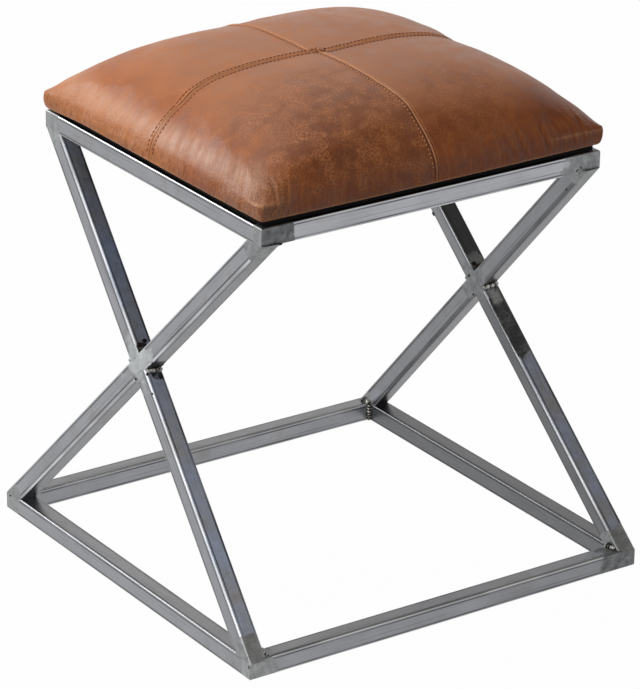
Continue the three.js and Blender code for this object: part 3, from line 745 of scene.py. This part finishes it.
def addBoardMaterials():
    s = boardSettings
    # Hardboard sprayed matt black: an even, slightly pebbled skin
    board, add, place = startMaterial("black_sprayed_hardboard")
    dust = add("TexNoise", place, 1 / (s["dustSize"] * mm), 5.0)
    pebble = add("TexNoise", place, 1 / (s["pebbleSize"] * mm))
    add("OutputMaterial", add("BsdfPrincipled", {
        "Base Color": layered(add, "#050507", ("#0d0d10", dust)), "Roughness": 0.72, "Specular IOR Level": 0.12,
        "Normal": add("Bump", {"Height": pebble, "Strength": 0.3, "Distance": 0.15 * mm})}))
    # Birch plywood: eight plies, light and dark by turns, with a fine long grain on its faces
    ply, add, place = startMaterial("birch_plywood")
    grainSpace = add("Mapping", {"Vector": place, "Scale": [1 / (size * mm) for size in s["grainSizes"]]})
    grain = add("TexNoise", grainSpace, 1.0, 5.0)
    plies = shareOf(add, add("SeparateXYZ", place).outputs["Z"], 2 * math.pi / (s["twoPlies"] * mm))
    wave = add("MapRange", add("Math", plies, operation="SINE"), -0.2, 0.2, -0.18, 0.18)
    add("OutputMaterial", add("BsdfPrincipled", {
        "Base Color": layered(add, "#a98455", ("#dcc193", add("Math", grain, wave))), "Roughness": 0.68}))
    # Spun dust cover cloth: black fibres pressed into a thin felt
    cloth, add, place = startMaterial("black_spunbond_cloth")
    fibres = add("TexVoronoi", place, 1 / (s["fibreSize"] * mm))
    add("OutputMaterial", add("BsdfPrincipled", {
        "Base Color": layered(add, "#1d1e22", ("#34353b", fibres)), "Roughness": 0.95}))
    return board, ply, cloth


def dressNode(name, material):
    nodes[name].data.materials[0] = material


blackBoard, plywood, dustCloth = addBoardMaterials()
dressNode("base_board", blackBoard)
dressNode("seat_board", plywood)
for cornerLabel in cornerSigns:
    dressNode("corner_plate_" + cornerLabel, plateSteel)
print("screws, plates and boards ready")


# The cushion: one crowned form for the foam, the wadding and the leather

cushionSettings = {
    "halfWidth": 191.2, "ridgeHeight": 448.5, "bottom": 436.0,
    "crownHeight": 57.8, "spreadPower": 3.73, "risePower": 1.5, "cornerFall": 0.08,
    "sideSwell": 1.7, "cornerRadius": 3.5,
    "columns": 176, "seamColumns": 12, "seamBand": 8.4,
    "thickness": 1.2, "cornerLean": 2.6, "cornerDroop": 4.2, "droopReach": 48,
    "swellCap": 2.4, "swellSpread": 8.0,  # how far the simulation may move a point, and how far it is smoothed
}


def riseAt(share):
    s = cushionSettings
    return max(1 - abs(share) ** s["spreadPower"], 0) ** (1 / s["risePower"])


def crownPoint(u, v, inset, lift):
    s = cushionSettings
    x = u * (s["halfWidth"] - inset + s["sideSwell"] * (1 - v * v))
    y = v * (s["halfWidth"] - inset + s["sideSwell"] * (1 - u * u))
    share = riseAt(u) * riseAt(v) * (1 - s["cornerFall"] * u * u * v * v)
    height = s["ridgeHeight"] + padLean(u, v) + lift + s["crownHeight"] * share
    return roundedCorner(x, y, s["halfWidth"] - inset), height


def padLean(u, v):
    # The pad is a little lower at its back left corner and higher at its front right one
    return cushionSettings["cornerLean"] * (u - v) / 2


def roundedCorner(x, y, reach):
    # Draws the square corner of the plan onto a quarter circle
    start = reach - cushionSettings["cornerRadius"]
    overX, overY = abs(x) - start, abs(y) - start
    if overX <= 0 or overY <= 0:
        return x, y
    scale = max(overX, overY) / math.hypot(overX, overY)
    return (math.copysign(start + overX * scale, x), math.copysign(start + overY * scale, y))


def fineStation(t):
    # Columns close together in the seam band and near the edge, wider between
    s = cushionSettings
    bandShare = s["seamBand"] / s["halfWidth"]
    bandEnd = 2 * s["seamColumns"] / s["columns"]
    size = abs(t)
    if size <= bandEnd:
        station = size / bandEnd * bandShare
    else:
        way = (size - bandEnd) / (1 - bandEnd)
        station = bandShare + (1 - bandShare) * (0.62 * math.sin(way * math.pi / 2) + 0.38 * way)
    return math.copysign(station, t)


# Rows below the ridge, as (inset, height): the belly of the side, the lip that hangs a little
# past the black board, then the edge that turns under
sideRows = [
    (-0.35, 447.0), (-0.65, 445.2), (-0.8, 443.2), (-0.7, 441.2), (-0.4, 439.4), (0.0, 437.8),
    (0.45, 436.3), (0.95, 435.1), (1.7, 434.15), (2.6, 433.7), (3.6, 434.0), (4.7, 435.0), (6.6, 435.8),
    (9.6, 436.0), (18.0, 436.0), (28.2, 436.0),
]
# How far each row sinks at the back left corner, where the cover is drawn down over the board's edge
rowDroop = [0, 0.1, 0.25, 0.4, 0.6, 0.8, 0.95, 1, 1, 1, 1, 0.75, 0, 0, 0, 0, 0]
# Each panel's tone, by its side left to right and front to back: partly the hides' own tones, partly painted shade,
# darkest on the front right panel that faces away from the lamps
panelTones = {(-1, -1): 0.12, (1, -1): -0.16, (1, 1): 0.3, (-1, 1): 0.5}


def crownSheet(columns, station, rows, inset, lift):
    # An open sheet: a grid over the top, with its rim extruded down the sides row by row
    bm = bmesh.new()
    bmesh.ops.create_grid(bm, x_segments=columns, y_segments=columns, size=1)
    uLayer, vLayer, rowLayer = floatLayers(bm, "u", "v", "row")
    for vert in bm.verts:
        u, v = station(vert.co.x), station(vert.co.y)
        vert[uLayer], vert[vLayer] = u, v
        (x, y), z = crownPoint(u, v, inset, lift)
        vert.co = (x, y, z)
    rim = [e for e in bm.edges if e.is_boundary]
    for number, (rowInset, height) in enumerate(rows, 1):
        grown = bmesh.ops.extrude_edge_only(bm, edges=rim)["geom"]
        rim = ofKind(grown, "BMEdge")
        for vert in ofKind(grown, "BMVert"):
            u, v = vert[uLayer], vert[vLayer]
            (x, y), z = crownPoint(u, v, inset + rowInset, 0)
            leaning = smoothStep(cushionSettings["bottom"], cushionSettings["ridgeHeight"], height)
            vert.co = (x, y, height + padLean(u, v) * leaning)
            vert[rowLayer] = number
    bmesh.ops.recalc_face_normals(bm, faces=bm.faces)
    return bm, rowLayer


# Thick leather under light pressure
clothSettings = {
    "quality": 6, "mass": 0.25, "tension_stiffness": 18, "compression_stiffness": 14, "shear_stiffness": 6,
    "bending_stiffness": 1.2, "use_pressure": True, "uniform_pressure_force": 4, "shrink_min": -0.02,
    "vertex_group_mass": "pinned",
}
clothFrames = 20


def simulateCover():
    # The cover is pinned at its lower edge and swells over the pad under a light pressure.
    # Returns where each point of a coarse sheet started, and how far it moved.
    bm, rowLayer = crownSheet(64, lambda t: 0.7 * math.sin(t * math.pi / 2) + 0.3 * t,
                              [(-0.8, 443.8), (0.05, 439.2), (3.5, 436.0)], 0.6, -0.6)
    bm.verts.index_update()
    pinned = [v.index for v in bm.verts if v[rowLayer] >= 2]
    inMetres(bm)
    trial = meshObject("cover_trial", bm)
    trial.vertex_groups.new(name="pinned").add(pinned, 1.0, "REPLACE")
    start = [v.co.copy() for v in trial.data.vertices]
    cloth = trial.modifiers.new("cover", "CLOTH")
    for name, value in clothSettings.items():
        setattr(cloth.settings, name, value)
    cloth.settings.effector_weights.gravity = 0
    cloth.point_cache.frame_start, cloth.point_cache.frame_end = 1, clothFrames
    for number in range(1, clothFrames + 1):
        scene.frame_set(number)
    settled = trial.evaluated_get(bpy.context.evaluated_depsgraph_get())
    moved = [v.co - s for v, s in zip(settled.data.vertices, start)]
    scene.frame_set(1)
    bpy.data.objects.remove(trial)
    print("cover settled: largest move", round(max(m.length for m in moved) / mm, 2), "mm")
    return start, moved


# Seams: one runs left to right, the other from front to back. The halves of each miss by a few millimetres.

seamSettings = {
    "leftShift": 2.0, "rightShift": -4.0, "frontShift": -1.5, "backShift": -8.5,
    "stitchGap": 5.0, "stitchPitch": 4.4, "stitchLength": 2.7, "threadRadius": 0.8,
    "grooveDepth": 1.5, "grooveWidth": 0.65, "ridgeHeight": 0.95, "ridgePlace": 1.4, "ridgeWidth": 0.7,
    "foldPlace": -0.7, "foldWidth": 0.65, "foldHeight": 1.15,
    "panelSwell": 1.0, "twistSize": 1.111,
}


def crossShift(x):
    # The left to right seam, as millimetres behind the middle
    s = seamSettings
    right = s["rightShift"] * (1 - 0.7 * smoothStep(10, 90, x))
    left = s["leftShift"] * (1 - 1.9 * smoothStep(110, 180, -x))
    return left + (right - left) * smoothStep(1, 7, x)


def lengthShift(y):
    # The front to back seam, as millimetres right of the middle
    s = seamSettings
    front = s["frontShift"] + 3.5 * smoothStep(90, 150, -y)
    return front + (s["backShift"] - front) * smoothStep(0.0, 3.0, y)


def acrossSeam(x, y):
    return y - crossShift(x), x - lengthShift(y)


def seamRelief(x, y):
    # Height of the leather near the seams, above its plain crown
    s = seamSettings
    acrossA, acrossB = acrossSeam(x, y)
    relief = 0
    relief -= s["grooveDepth"] * bump(0, s["grooveWidth"], acrossA)
    relief += s["ridgeHeight"] * bump(s["ridgePlace"], s["ridgeWidth"], abs(acrossA))
    relief -= 0.35 * bump(s["stitchGap"], 0.8, abs(acrossA))
    # The front to back seam is folded under on one side: one sharp ridge, a groove on its left, a faint one right
    relief += s["foldHeight"] * bump(s["foldPlace"], s["foldWidth"], acrossB)
    relief -= 0.8 * bump(s["foldPlace"] - 1.4, 0.8, acrossB) + 0.5 * bump(s["foldPlace"] + 1.4, 0.7, acrossB)
    relief -= 0.35 * bump(-s["stitchGap"], 0.8, acrossB)
    relief -= s["panelSwell"] * (bump(0, 20, acrossA) + bump(0, 20, acrossB))
    return relief


def sideRelief(z, way):
    # Puckers where the leather is pulled down and stapled, strongest at the lower edge
    low = 1 - smoothStep(440, 466, z)
    pucker = noise.noise((way / 9.0, 0.3, z / 60)) + 0.6 * noise.noise((way / 4.5, 7.1, z / 40))
    return 0.75 * low * pucker


# Folds across the front side, as (x at 452 mm high, lean, depth, width)
creases = [
    (70, 0.9, 0.7, 2.3), (85, 0.6, 1.2, 2.5), (99, 0.3, 1.7, 2.3), (111, 0.6, 0.9, 2.2), (126, 0.25, 1.6, 2.4),
    (143, 0.35, 0.9, 2.2), (157, 0.15, 0.8, 1.8), (168, 0.2, 0.9, 1.6),
    (-148, -0.6, 0.8, 1.9), (-162, -0.5, 1.1, 1.8), (-174, -0.4, 1.3, 1.6),
]


def creaseRelief(x, y, z):
    # Each fold has a hollow and a raised lip beside it. Returns its relief, and its painted shade and painted
    # highlight.
    mask = smoothStep(150, 184, -y) * smoothStep(437, 444, z) * (1 - smoothStep(460, 474, z))
    relief, shade = 0, 0
    for place, lean, depth, width in creases:
        across = x - place + lean * (z - 452)
        form = 0.8 * bump(width * 1.3, width, across) - bump(0, width, across)
        relief += depth * form
        shade += min(depth / 2, 1) * form
    # The rim is pinched to a ridge at the front corner, and gets a painted highlight there and along the right of the
    # front side
    peak = smoothStep(150, 188, min(-x, -y))
    pinched = 0.5 * smoothStep(95, 182, min(abs(x), -y))
    paintedLight = smoothStep(120, 150, x) * smoothStep(160, 184, -y) + 0.9 * peak
    return relief * mask + (pinched + 1.5 * peak) * bump(448.5, 2.0, z), shade * mask + paintedLight * bump(449.0, 1.6, z)


def broadRelief(x, y):
    # Slow unevenness of hand filled padding
    return 0.9 * noise.noise((x / 70, y / 70, 2.0)) + 0.35 * noise.noise((x / 28, y / 28, 5.0))


def addLeatherCover(leather):
    s = cushionSettings
    bm, rowLayer = crownSheet(s["columns"], fineStation, sideRows, 0, 0)
    start, moved = simulateCover()
    tree = kdtree.KDTree(len(start))
    for index, point in enumerate(start):
        tree.insert(point / mm, index)
    tree.balance()
    cap, spread = s["swellCap"], s["swellSpread"]
    dropLayer, seamLayer, wayLayer, panelLayer, lipLayer, foldLayer, lengthLayer = floatLayers(
        bm, "sideDrop", "seamNear", "sideWay", "panelTone", "lowerLip", "fold", "lengthSeam")
    for vert in bm.verts:
        point = vert.co.copy()
        row = vert[rowLayer]
        reach = max(abs(point.x), abs(point.y), 0.1)
        way = perimeterAt(-point.x, -point.y, reach) * s["halfWidth"] / reach
        # The columns of the seam bands follow the seams and their small shifts
        if row < 14:
            point += Vector((lengthShift(point.y) * (1 - smoothStep(6, 70, abs(point.x))),
                             crossShift(point.x) * (1 - smoothStep(6, 70, abs(point.y))), 0))
        if row < 9:
            push, total = Vector((0, 0, 0)), 0
            for near, index, distance in tree.find_range(point, 2.2 * spread):
                weight = math.exp(-(distance / spread) ** 2)
                push += moved[index] / mm * weight
                total += weight
            push /= max(total, 0.001)
            if push.length > cap:
                push *= cap / push.length
            point += push * (1 - smoothStep(6, 9, row))
        if row < 10:
            fadeDown = 1 - smoothStep(6, 10, row)
            relief = seamRelief(point.x, point.y)
            if row > 0 or point.z < 470:
                relief += sideRelief(point.z, way)
            relief += broadRelief(point.x, point.y) * (1 if row == 0 else 0.6)
            foldRelief, vert[foldLayer] = creaseRelief(*point)
            point += vert.normal * (relief + foldRelief) * fadeDown
        fromCorner = math.hypot(point.x + s["halfWidth"], point.y - s["halfWidth"])
        point.z -= s["cornerDroop"] * rowDroop[round(row)] * bump(0, s["droopReach"], fromCorner)
        vert[dropLayer] = 1 - smoothStep(436, 494, point.z)
        vert[lipLayer] = 1 if 8 <= row <= 9 else 0
        vert[wayLayer] = way * mm
        acrossA, acrossB = acrossSeam(point.x, point.y)
        vert[seamLayer] = abs(acrossA) * mm
        vert[lengthLayer] = acrossB * mm
        vert[panelLayer] = panelTones[(1 if acrossB > 0 else -1, 1 if acrossA > 0 else -1)]
        vert.co = point
    inMetres(bm)
    cover = addPiece("leather_cover", bm, leather, "leather",
                     *("leather_panel_" + label for label in cornerSigns))
    addThickness(cover, "leather thickness", s["thickness"], -1)
    return cover


# Pull-up leather: drum dyed and waxed, so it pales where it is stretched.
# It gives a tan to chestnut cloudiness, a fine crackle of lighter veins and a soft waxy sheen, with painted highlights
# and painted shade added in places.

leatherSettings = {
    "dark": "#78330f", "light": "#c26c2c", "vein": "#d0834e", "crownSheen": "#c78a60", "paleVeinsAndHighlight": "#d3986a", "deep": "#3a1c0e",
    "ridge": "#e09a66", "sheen": "#dcb69e", "pulled": "#e29355", "low": "#7d3a13", "shadeAndCrackle": "#5f270d",
    "roughness": 0.42,
    "veinSize": 3.3, "fineVeinSize": 1.7, "veinBend": 3.5, "grainSize": 1.4,  # millimetres
    # Clouds, mottling, loose places, patches of veins and bends: size in millimetres, detail, roughness
    "patterns": [(80, 4.0, 0.55), (15, 5.0, 0.62), (90.91, 3.0), (14.29,), (5.882,)],
    # Down the sides: long streaks, puckers and sheen, as width and length in millimetres, and detail
    "streaks": [(4.2, 26, 3.0), (2.7, 9, 2.0), (12, 46, 3.0)],
    # In metres: where the hide is loosest left and right of the seam, and a place near the front right edge that is
    # painted darker as painted shade
    "places": [(-0.06, -0.165, 0), (0.052, -0.142, 0), (0.15, -0.162, 0)],
    # The front to back seam's ridge with its painted highlight, the dark line of painted shade on its left and a faint
    # painted highlight on its right:
    # millimetres from the ridge, and half width
    "foldLines": [(0, 0.85), (-1.7, 0.95), (2.9, 0.8)],
}


def veinNet(add, place, size, width):
    net = add("TexVoronoi", place, 1 / (size * mm), feature="DISTANCE_TO_EDGE")
    return add("MapRange", net, 0.0, width, 1.0, 0.0)


def sideStreaks(add, way, height, width, length, detail):
    # Noise drawn out down the sides of the cushion
    space = add("CombineXYZ", shareOf(add, way, 1 / (width * mm)), shareOf(add, height, 1 / (length * mm)))
    return add("TexNoise", space, 1.0, detail, 0.6)


def leatherMaterial():
    s = leatherSettings
    material, add, place = startMaterial("waxed_pull_up_leather")
    x, y, z = add("SeparateXYZ", place).outputs
    cloud, mottle, where, patchy, bend = (
        add("TexNoise", place, 1 / (size * mm), *look) for size, *look in s["patterns"])
    panel, seam, lengthSeam, drop, way, fold, lip = (
        add("Attribute", attribute_name=name).outputs["Fac"]
        for name in ("panelTone", "seamNear", "lengthSeam", "sideDrop", "sideWay", "fold", "lowerLip"))
    streak, pucker, sheenStreak = (sideStreaks(add, way, z, *sizes) for sizes in s["streaks"])
    dye = add("Math", panel, 0.22, add("Mix", 0.45, cloud, mottle), operation="MULTIPLY_ADD")
    # Veins: the wax cracks along a net of fine lines, in some places more than in others
    bentPlace = add("VectorMath", bend.outputs["Color"], [s["veinBend"] * mm] * 3, place, operation="MULTIPLY_ADD")
    fineVeins = shareOf(add, veinNet(add, bentPlace, s["fineVeinSize"], 0.2), 0.5)
    veins = add("Math", veinNet(add, bentPlace, s["veinSize"], 0.16), fineVeins, operation="MAXIMUM")
    # The hide is loosest at the middle of the front edge, and cracks most there; it is also painted darker there, as
    # painted shade on the slope down to the front
    plan = add("CombineXYZ", x, y)
    onRight = add("MapRange", lengthSeam, -1.0 * mm, 1.0 * mm)
    fromLeft, fromRight, fromShadedPlace = (add("VectorMath", plan, spot, operation="DISTANCE") for spot in s["places"])
    fromLoosest = add("Mix", onRight, shareOf(add, fromLeft, 0.9), shareOf(add, fromRight, 2.1))
    loose = add("Math", where, -0.14, fromLoosest, operation="MULTIPLY_ADD")
    foldLines = []
    for offset, reach in s["foldLines"]:
        away = add("Math", lengthSeam, (seamSettings["foldPlace"] + offset) * mm, operation="SUBTRACT")
        foldLines.append((add("Math", away, operation="ABSOLUTE"), reach * 0.4 * mm, reach * mm, 1.0, 0.0))
    onSide = add("MapRange", drop, 0.05, 0.5)
    atEdge = add("MapRange", drop, 0.72, 0.97)
    leftSide = shareOf(add, (x, -0.11, -0.16), (add("Math", y, x, operation="SUBTRACT"), 0.0, 0.014))
    lowCorner = shareOf(add, (y, -0.085, -0.14), (drop, 0.3, 0.6), (x, -0.15, -0.17))
    sheen = shareOf(add, leftSide, (y, 0.05, -0.03, 0.55, 1.0), (drop, 0.18, 0.5), (drop, 0.9, 0.6),
                    (sheenStreak, 0.34, 0.66, 0.26, 1.0), (mottle, 0.36, 0.56, 0.5, 1.0))
    colour = layered(
        add, s["dark"], (s["light"], (dye, 0.28, 0.72)),
        # The crown is painted paler towards its top: a painted sheen
        (s["crownSheen"], (z, 0.474, 0.506, 0.0, 0.42)),
        # Painted shade: darker where the hide is loose, on the slope down to the front, and at one place near the
        # front right edge
        (s["shadeAndCrackle"], (loose, 0.055, -0.015, 0.0, 0.6), (onRight, 0.0, 1.0, 1.0, 0.5)),
        (s["shadeAndCrackle"], (fromShadedPlace, 0.05, 0.012, 0.0, 0.42)),
        (s["vein"], veins, (onRight, 0.0, 1.0, 0.9, 0.62), (loose, 0.075, 0.0, 0.06, 1.0),
         (patchy, 0.38, 0.6, 0.25, 1.0)),
        # The cross seam's two ridges get a painted highlight, and its groove painted shade
        (s["ridge"], (seam, 0.6 * mm, 1.0 * mm), (seam, 1.8 * mm, 2.5 * mm, 1.0, 0.0), (z, 0.497, 0.468, 0.5, 0.9)),
        (s["vein"], (seam, 2.6 * mm, 4.0 * mm), (seam, 6.0 * mm, 7.5 * mm, 1.0, 0.0), 0.12),
        (s["deep"], (seam, 0.4 * mm, 1.0 * mm, 0.95, 0.0)),
        # The front to back seam: painted highlights on its ridge and on a faint line right of it, painted shade on its
        # left
        (s["ridge"], foldLines[0], (y, 0.04, -0.04, 0.45, 0.7)),
        (s["deep"], foldLines[1], 0.75),
        (s["ridge"], foldLines[2], 0.35),
        # The sides darken downwards, with long pale streaks where the leather is pulled down
        (s["low"], (drop, 0.55, 0.92), 0.36),
        (s["vein"], (streak, 0.5, 0.72), onSide, 0.3),
        # The left side is pulled tightest towards the back, and pales to orange there. Its shoulder gets a whitish
        # painted sheen, a painted highlight, most towards the front.
        (s["pulled"], leftSide, (y, -0.08, -0.01), (drop, 0.25, 0.6, 0.0, 0.45)),
        (s["sheen"], sheen, 0.62),
        # Near the front corner the left side is painted darker low down, as painted shade, and its veins run all the
        # way down
        (s["shadeAndCrackle"], lowCorner, 0.25),
        (s["paleVeinsAndHighlight"], veins, lowCorner, 0.55),
        # Close puckers at the lower edge, with painted shade in their hollows
        (s["dark"], (pucker, 0.5, 0.36), atEdge, 0.5),
        # Folds: painted shade in the hollow, a painted highlight on the lip beside it
        (s["deep"], (fold, -0.15, -0.9, 0.0, 0.6)),
        (s["paleVeinsAndHighlight"], (fold, 0.15, 0.9, 0.0, 0.5)),
        # A painted highlight along the lip over the board
        (s["ridge"], lip, 0.5))
    rough = add("MapRange", mottle, 0.35, 0.65, s["roughness"] - 0.08, s["roughness"] + 0.08)
    grain = add("TexVoronoi", bentPlace, 1 / (s["grainSize"] * mm))
    fineNormal = add("Bump", {
        "Height": add("Math", grain, veins, operation="SUBTRACT"), "Strength": 0.4, "Distance": 0.3 * mm})
    pulled = add("Math", shareOf(add, pucker, atEdge), 2.0, shareOf(add, streak, onSide), operation="MULTIPLY_ADD")
    normal = add("Bump", {"Height": pulled, "Strength": 0.34, "Distance": 1.5 * mm, "Normal": fineNormal})
    add("OutputMaterial", add("BsdfPrincipled", {
        "Base Color": colour, "Roughness": rough, "Normal": normal, "Specular IOR Level": 0.36,
        "Coat Weight": add("MapRange", sheen, 0.0, 1.0, 0.04, 0.3), "Coat Roughness": 0.3}))
    return material


leatherSkin = leatherMaterial()
cover = addLeatherCover(leatherSkin)
print("leather cover built")


# Topstitching: each stitch is a short length of waxed thread that dips into the leather at both ends

def threadMaterial(name, dark, light, paintedLight):
    # Bonded polyester thread, waxed: a soft satin cord. The cross seam's thread is painted darker, as painted shade,
    # and the length seam's paler, as painted light;
    # both are painted lighter over the left shoulder, a painted highlight where the lamps fall.
    # Each end goes down into its needle hole, with painted shade there.
    material, add, place = startMaterial(name)
    twist = add("TexNoise", place, 1 / (seamSettings["twistSize"] * mm))
    x = add("SeparateXYZ", place).outputs["X"]
    hole = add("Attribute", attribute_name="needleHole").outputs["Fac"]
    colour = layered(add, dark, (light, twist), (paintedLight, (x, -0.115, -0.155)), ("#34180c", hole))
    add("OutputMaterial", add("BsdfPrincipled", {"Base Color": colour, "Roughness": 0.5}))
    return material


def addStitches(name, rows, thread, surface, holesFrom, proud):
    # holesFrom: where along half a stitch the painted shade of its end begins. proud: how far its middle stands out,
    # in millimetres.
    s = seamSettings
    bm = bmesh.new()
    holeLayer = bm.verts.layers.float.new("needleHole")
    for row in rows:
        travelled = 0
        last = None
        points = []
        for x, y in row:
            hit, normal, index, distance = surface.ray_cast(Vector((x * mm, y * mm, 0.6)), Vector((0, 0, -1)))
            if hit is None:
                continue
            if last is not None:
                travelled += (hit - last).length
            last = hit
            points.append((travelled / mm, hit, normal))
        step = 0
        while step * s["stitchPitch"] + s["stitchLength"] < travelled / mm:
            middle = step * s["stitchPitch"] + s["stitchLength"] / 2
            index = next(i for i, p in enumerate(points) if p[0] >= middle)
            place, normal = points[index][1], points[index][2]
            along = (points[min(index + 2, len(points) - 1)][1] - points[max(index - 2, 0)][1]).normalized()
            sideways = normal.cross(along).normalized()
            turn = Matrix((sideways, normal, along)).transposed().to_4x4()
            made = bmesh.ops.create_uvsphere(bm, u_segments=6, v_segments=10, radius=1)["verts"]
            for vert in made:
                vert[holeLayer] = smoothStep(holesFrom, holesFrom + 0.25, abs(vert.co.z))
            size = Matrix.Diagonal((s["threadRadius"] * mm, s["threadRadius"] * mm, s["stitchLength"] / 2 * mm, 1))
            bmesh.ops.transform(bm, verts=made, matrix=Matrix.Translation(place + normal * proud * mm) @ turn @ size)
            step += 1
    return addPiece(name, bm, thread, "leather")


def stitchRows():
    gap = seamSettings["stitchGap"]
    reach = 190.5
    steps = [-reach + 2 * reach * i / 900 for i in range(901)]
    acrossRows = [[(x, crossShift(x) + side * gap) for x in steps] for side in (-1, 1)]
    frontRow = [(lengthShift(y) - gap, y) for y in steps if y < -6]
    backRow = [(lengthShift(y) - gap, y) for y in steps if y > 6]
    return acrossRows, [frontRow, backRow]


shadedThread = threadMaterial("shaded_waxed_polyester_thread", "#64280f", "#8a3d1c", "#a9623a")
litThread = threadMaterial("lit_waxed_polyester_thread", "#b8703f", "#dd9c6a", "#d09060")
bpy.context.view_layer.update()
coverSurface = BVHTree.FromObject(cover, bpy.context.evaluated_depsgraph_get())
acrossRows, lengthRows = stitchRows()
addStitches("cross_seam_stitches", acrossRows, shadedThread, coverSurface, 0.45, 0.15)
addStitches("length_seam_stitches", lengthRows, litThread, coverSurface, 0.6, 0.25)
print("stitches sewn")


# Inside the cover: foam, wadding over it, and the dust cover under the seat board

def fibreMaterial(name, low, high, size):
    material, add, place = startMaterial(name)
    cells = add("TexVoronoi", place, 1 / (size * mm))
    add("OutputMaterial", add("BsdfPrincipled", {
        "Base Color": layered(add, high, (low, cells)), "Roughness": 0.95,
        "Normal": add("Bump", {"Height": cells, "Strength": 0.5, "Distance": 0.4 * mm})}))
    return material


paddingSettings = {"bottom": 449.9, "waddingInset": 5.4, "waddingThickness": 4.2, "foamInset": 10.2, "columns": 48}


def evenStation(t):
    return math.sin(t * math.pi / 2)


def addPadding():
    s = paddingSettings
    # Polyester wadding: white crimped fibre, loose and matt
    wadding = fibreMaterial("polyester_wadding", "#dedcd6", "#f6f5f2", 2.2)
    bm, rowLayer = crownSheet(s["columns"], evenStation, [], s["waddingInset"], -s["waddingInset"])
    inMetres(bm)
    layer = addPiece("wadding_layer", bm, wadding, "wadding", "wadding_layer")
    addThickness(layer, "wadding thickness", s["waddingThickness"], -1)
    # Polyurethane foam: cut from a block, with open cells of about 1 mm
    foam = fibreMaterial("polyurethane_foam", "#d6c68f", "#efe4bd", 1.6)
    bm, rowLayer = crownSheet(s["columns"], evenStation, [(0, s["bottom"])], s["foamInset"], -s["foamInset"])
    bmesh.ops.contextual_create(bm, geom=[e for e in bm.edges if e.is_boundary])
    bmesh.ops.recalc_face_normals(bm, faces=bm.faces)
    inMetres(bm)
    block = addPiece("foam_pad", bm, foam, "foam", "foam_pad")


dustCoverSettings = {
    "width": 362.0, "height": 435.4, "thickness": 0.4, "columns": 60,
    "slackStart": 40, "slackSize": 55, "slackDepth": 0.11,
}


def addDustCover():
    # Cloth stapled tight under the seat board, with a faint slackness between its edges
    s = dustCoverSettings
    width = s["width"]
    bm = bmesh.new()
    bmesh.ops.create_grid(bm, x_segments=s["columns"], y_segments=s["columns"], size=width / 2)
    for vert in bm.verts:
        x, y = vert.co.xy
        slack = smoothStep(0, s["slackStart"], width / 2 - max(abs(x), abs(y)))
        rise = noise.noise((x / s["slackSize"], y / s["slackSize"], 4.0))
        vert.co.z = s["height"] + s["slackDepth"] * slack * rise
    inMetres(bm)
    sheet = addPiece("dust_cover_cloth", bm, dustCloth, "dust_cloth", "dust_cover")
    addThickness(sheet, "cloth thickness", s["thickness"], 0)


addPadding()
addDustCover()
print("padding and dust cover built")
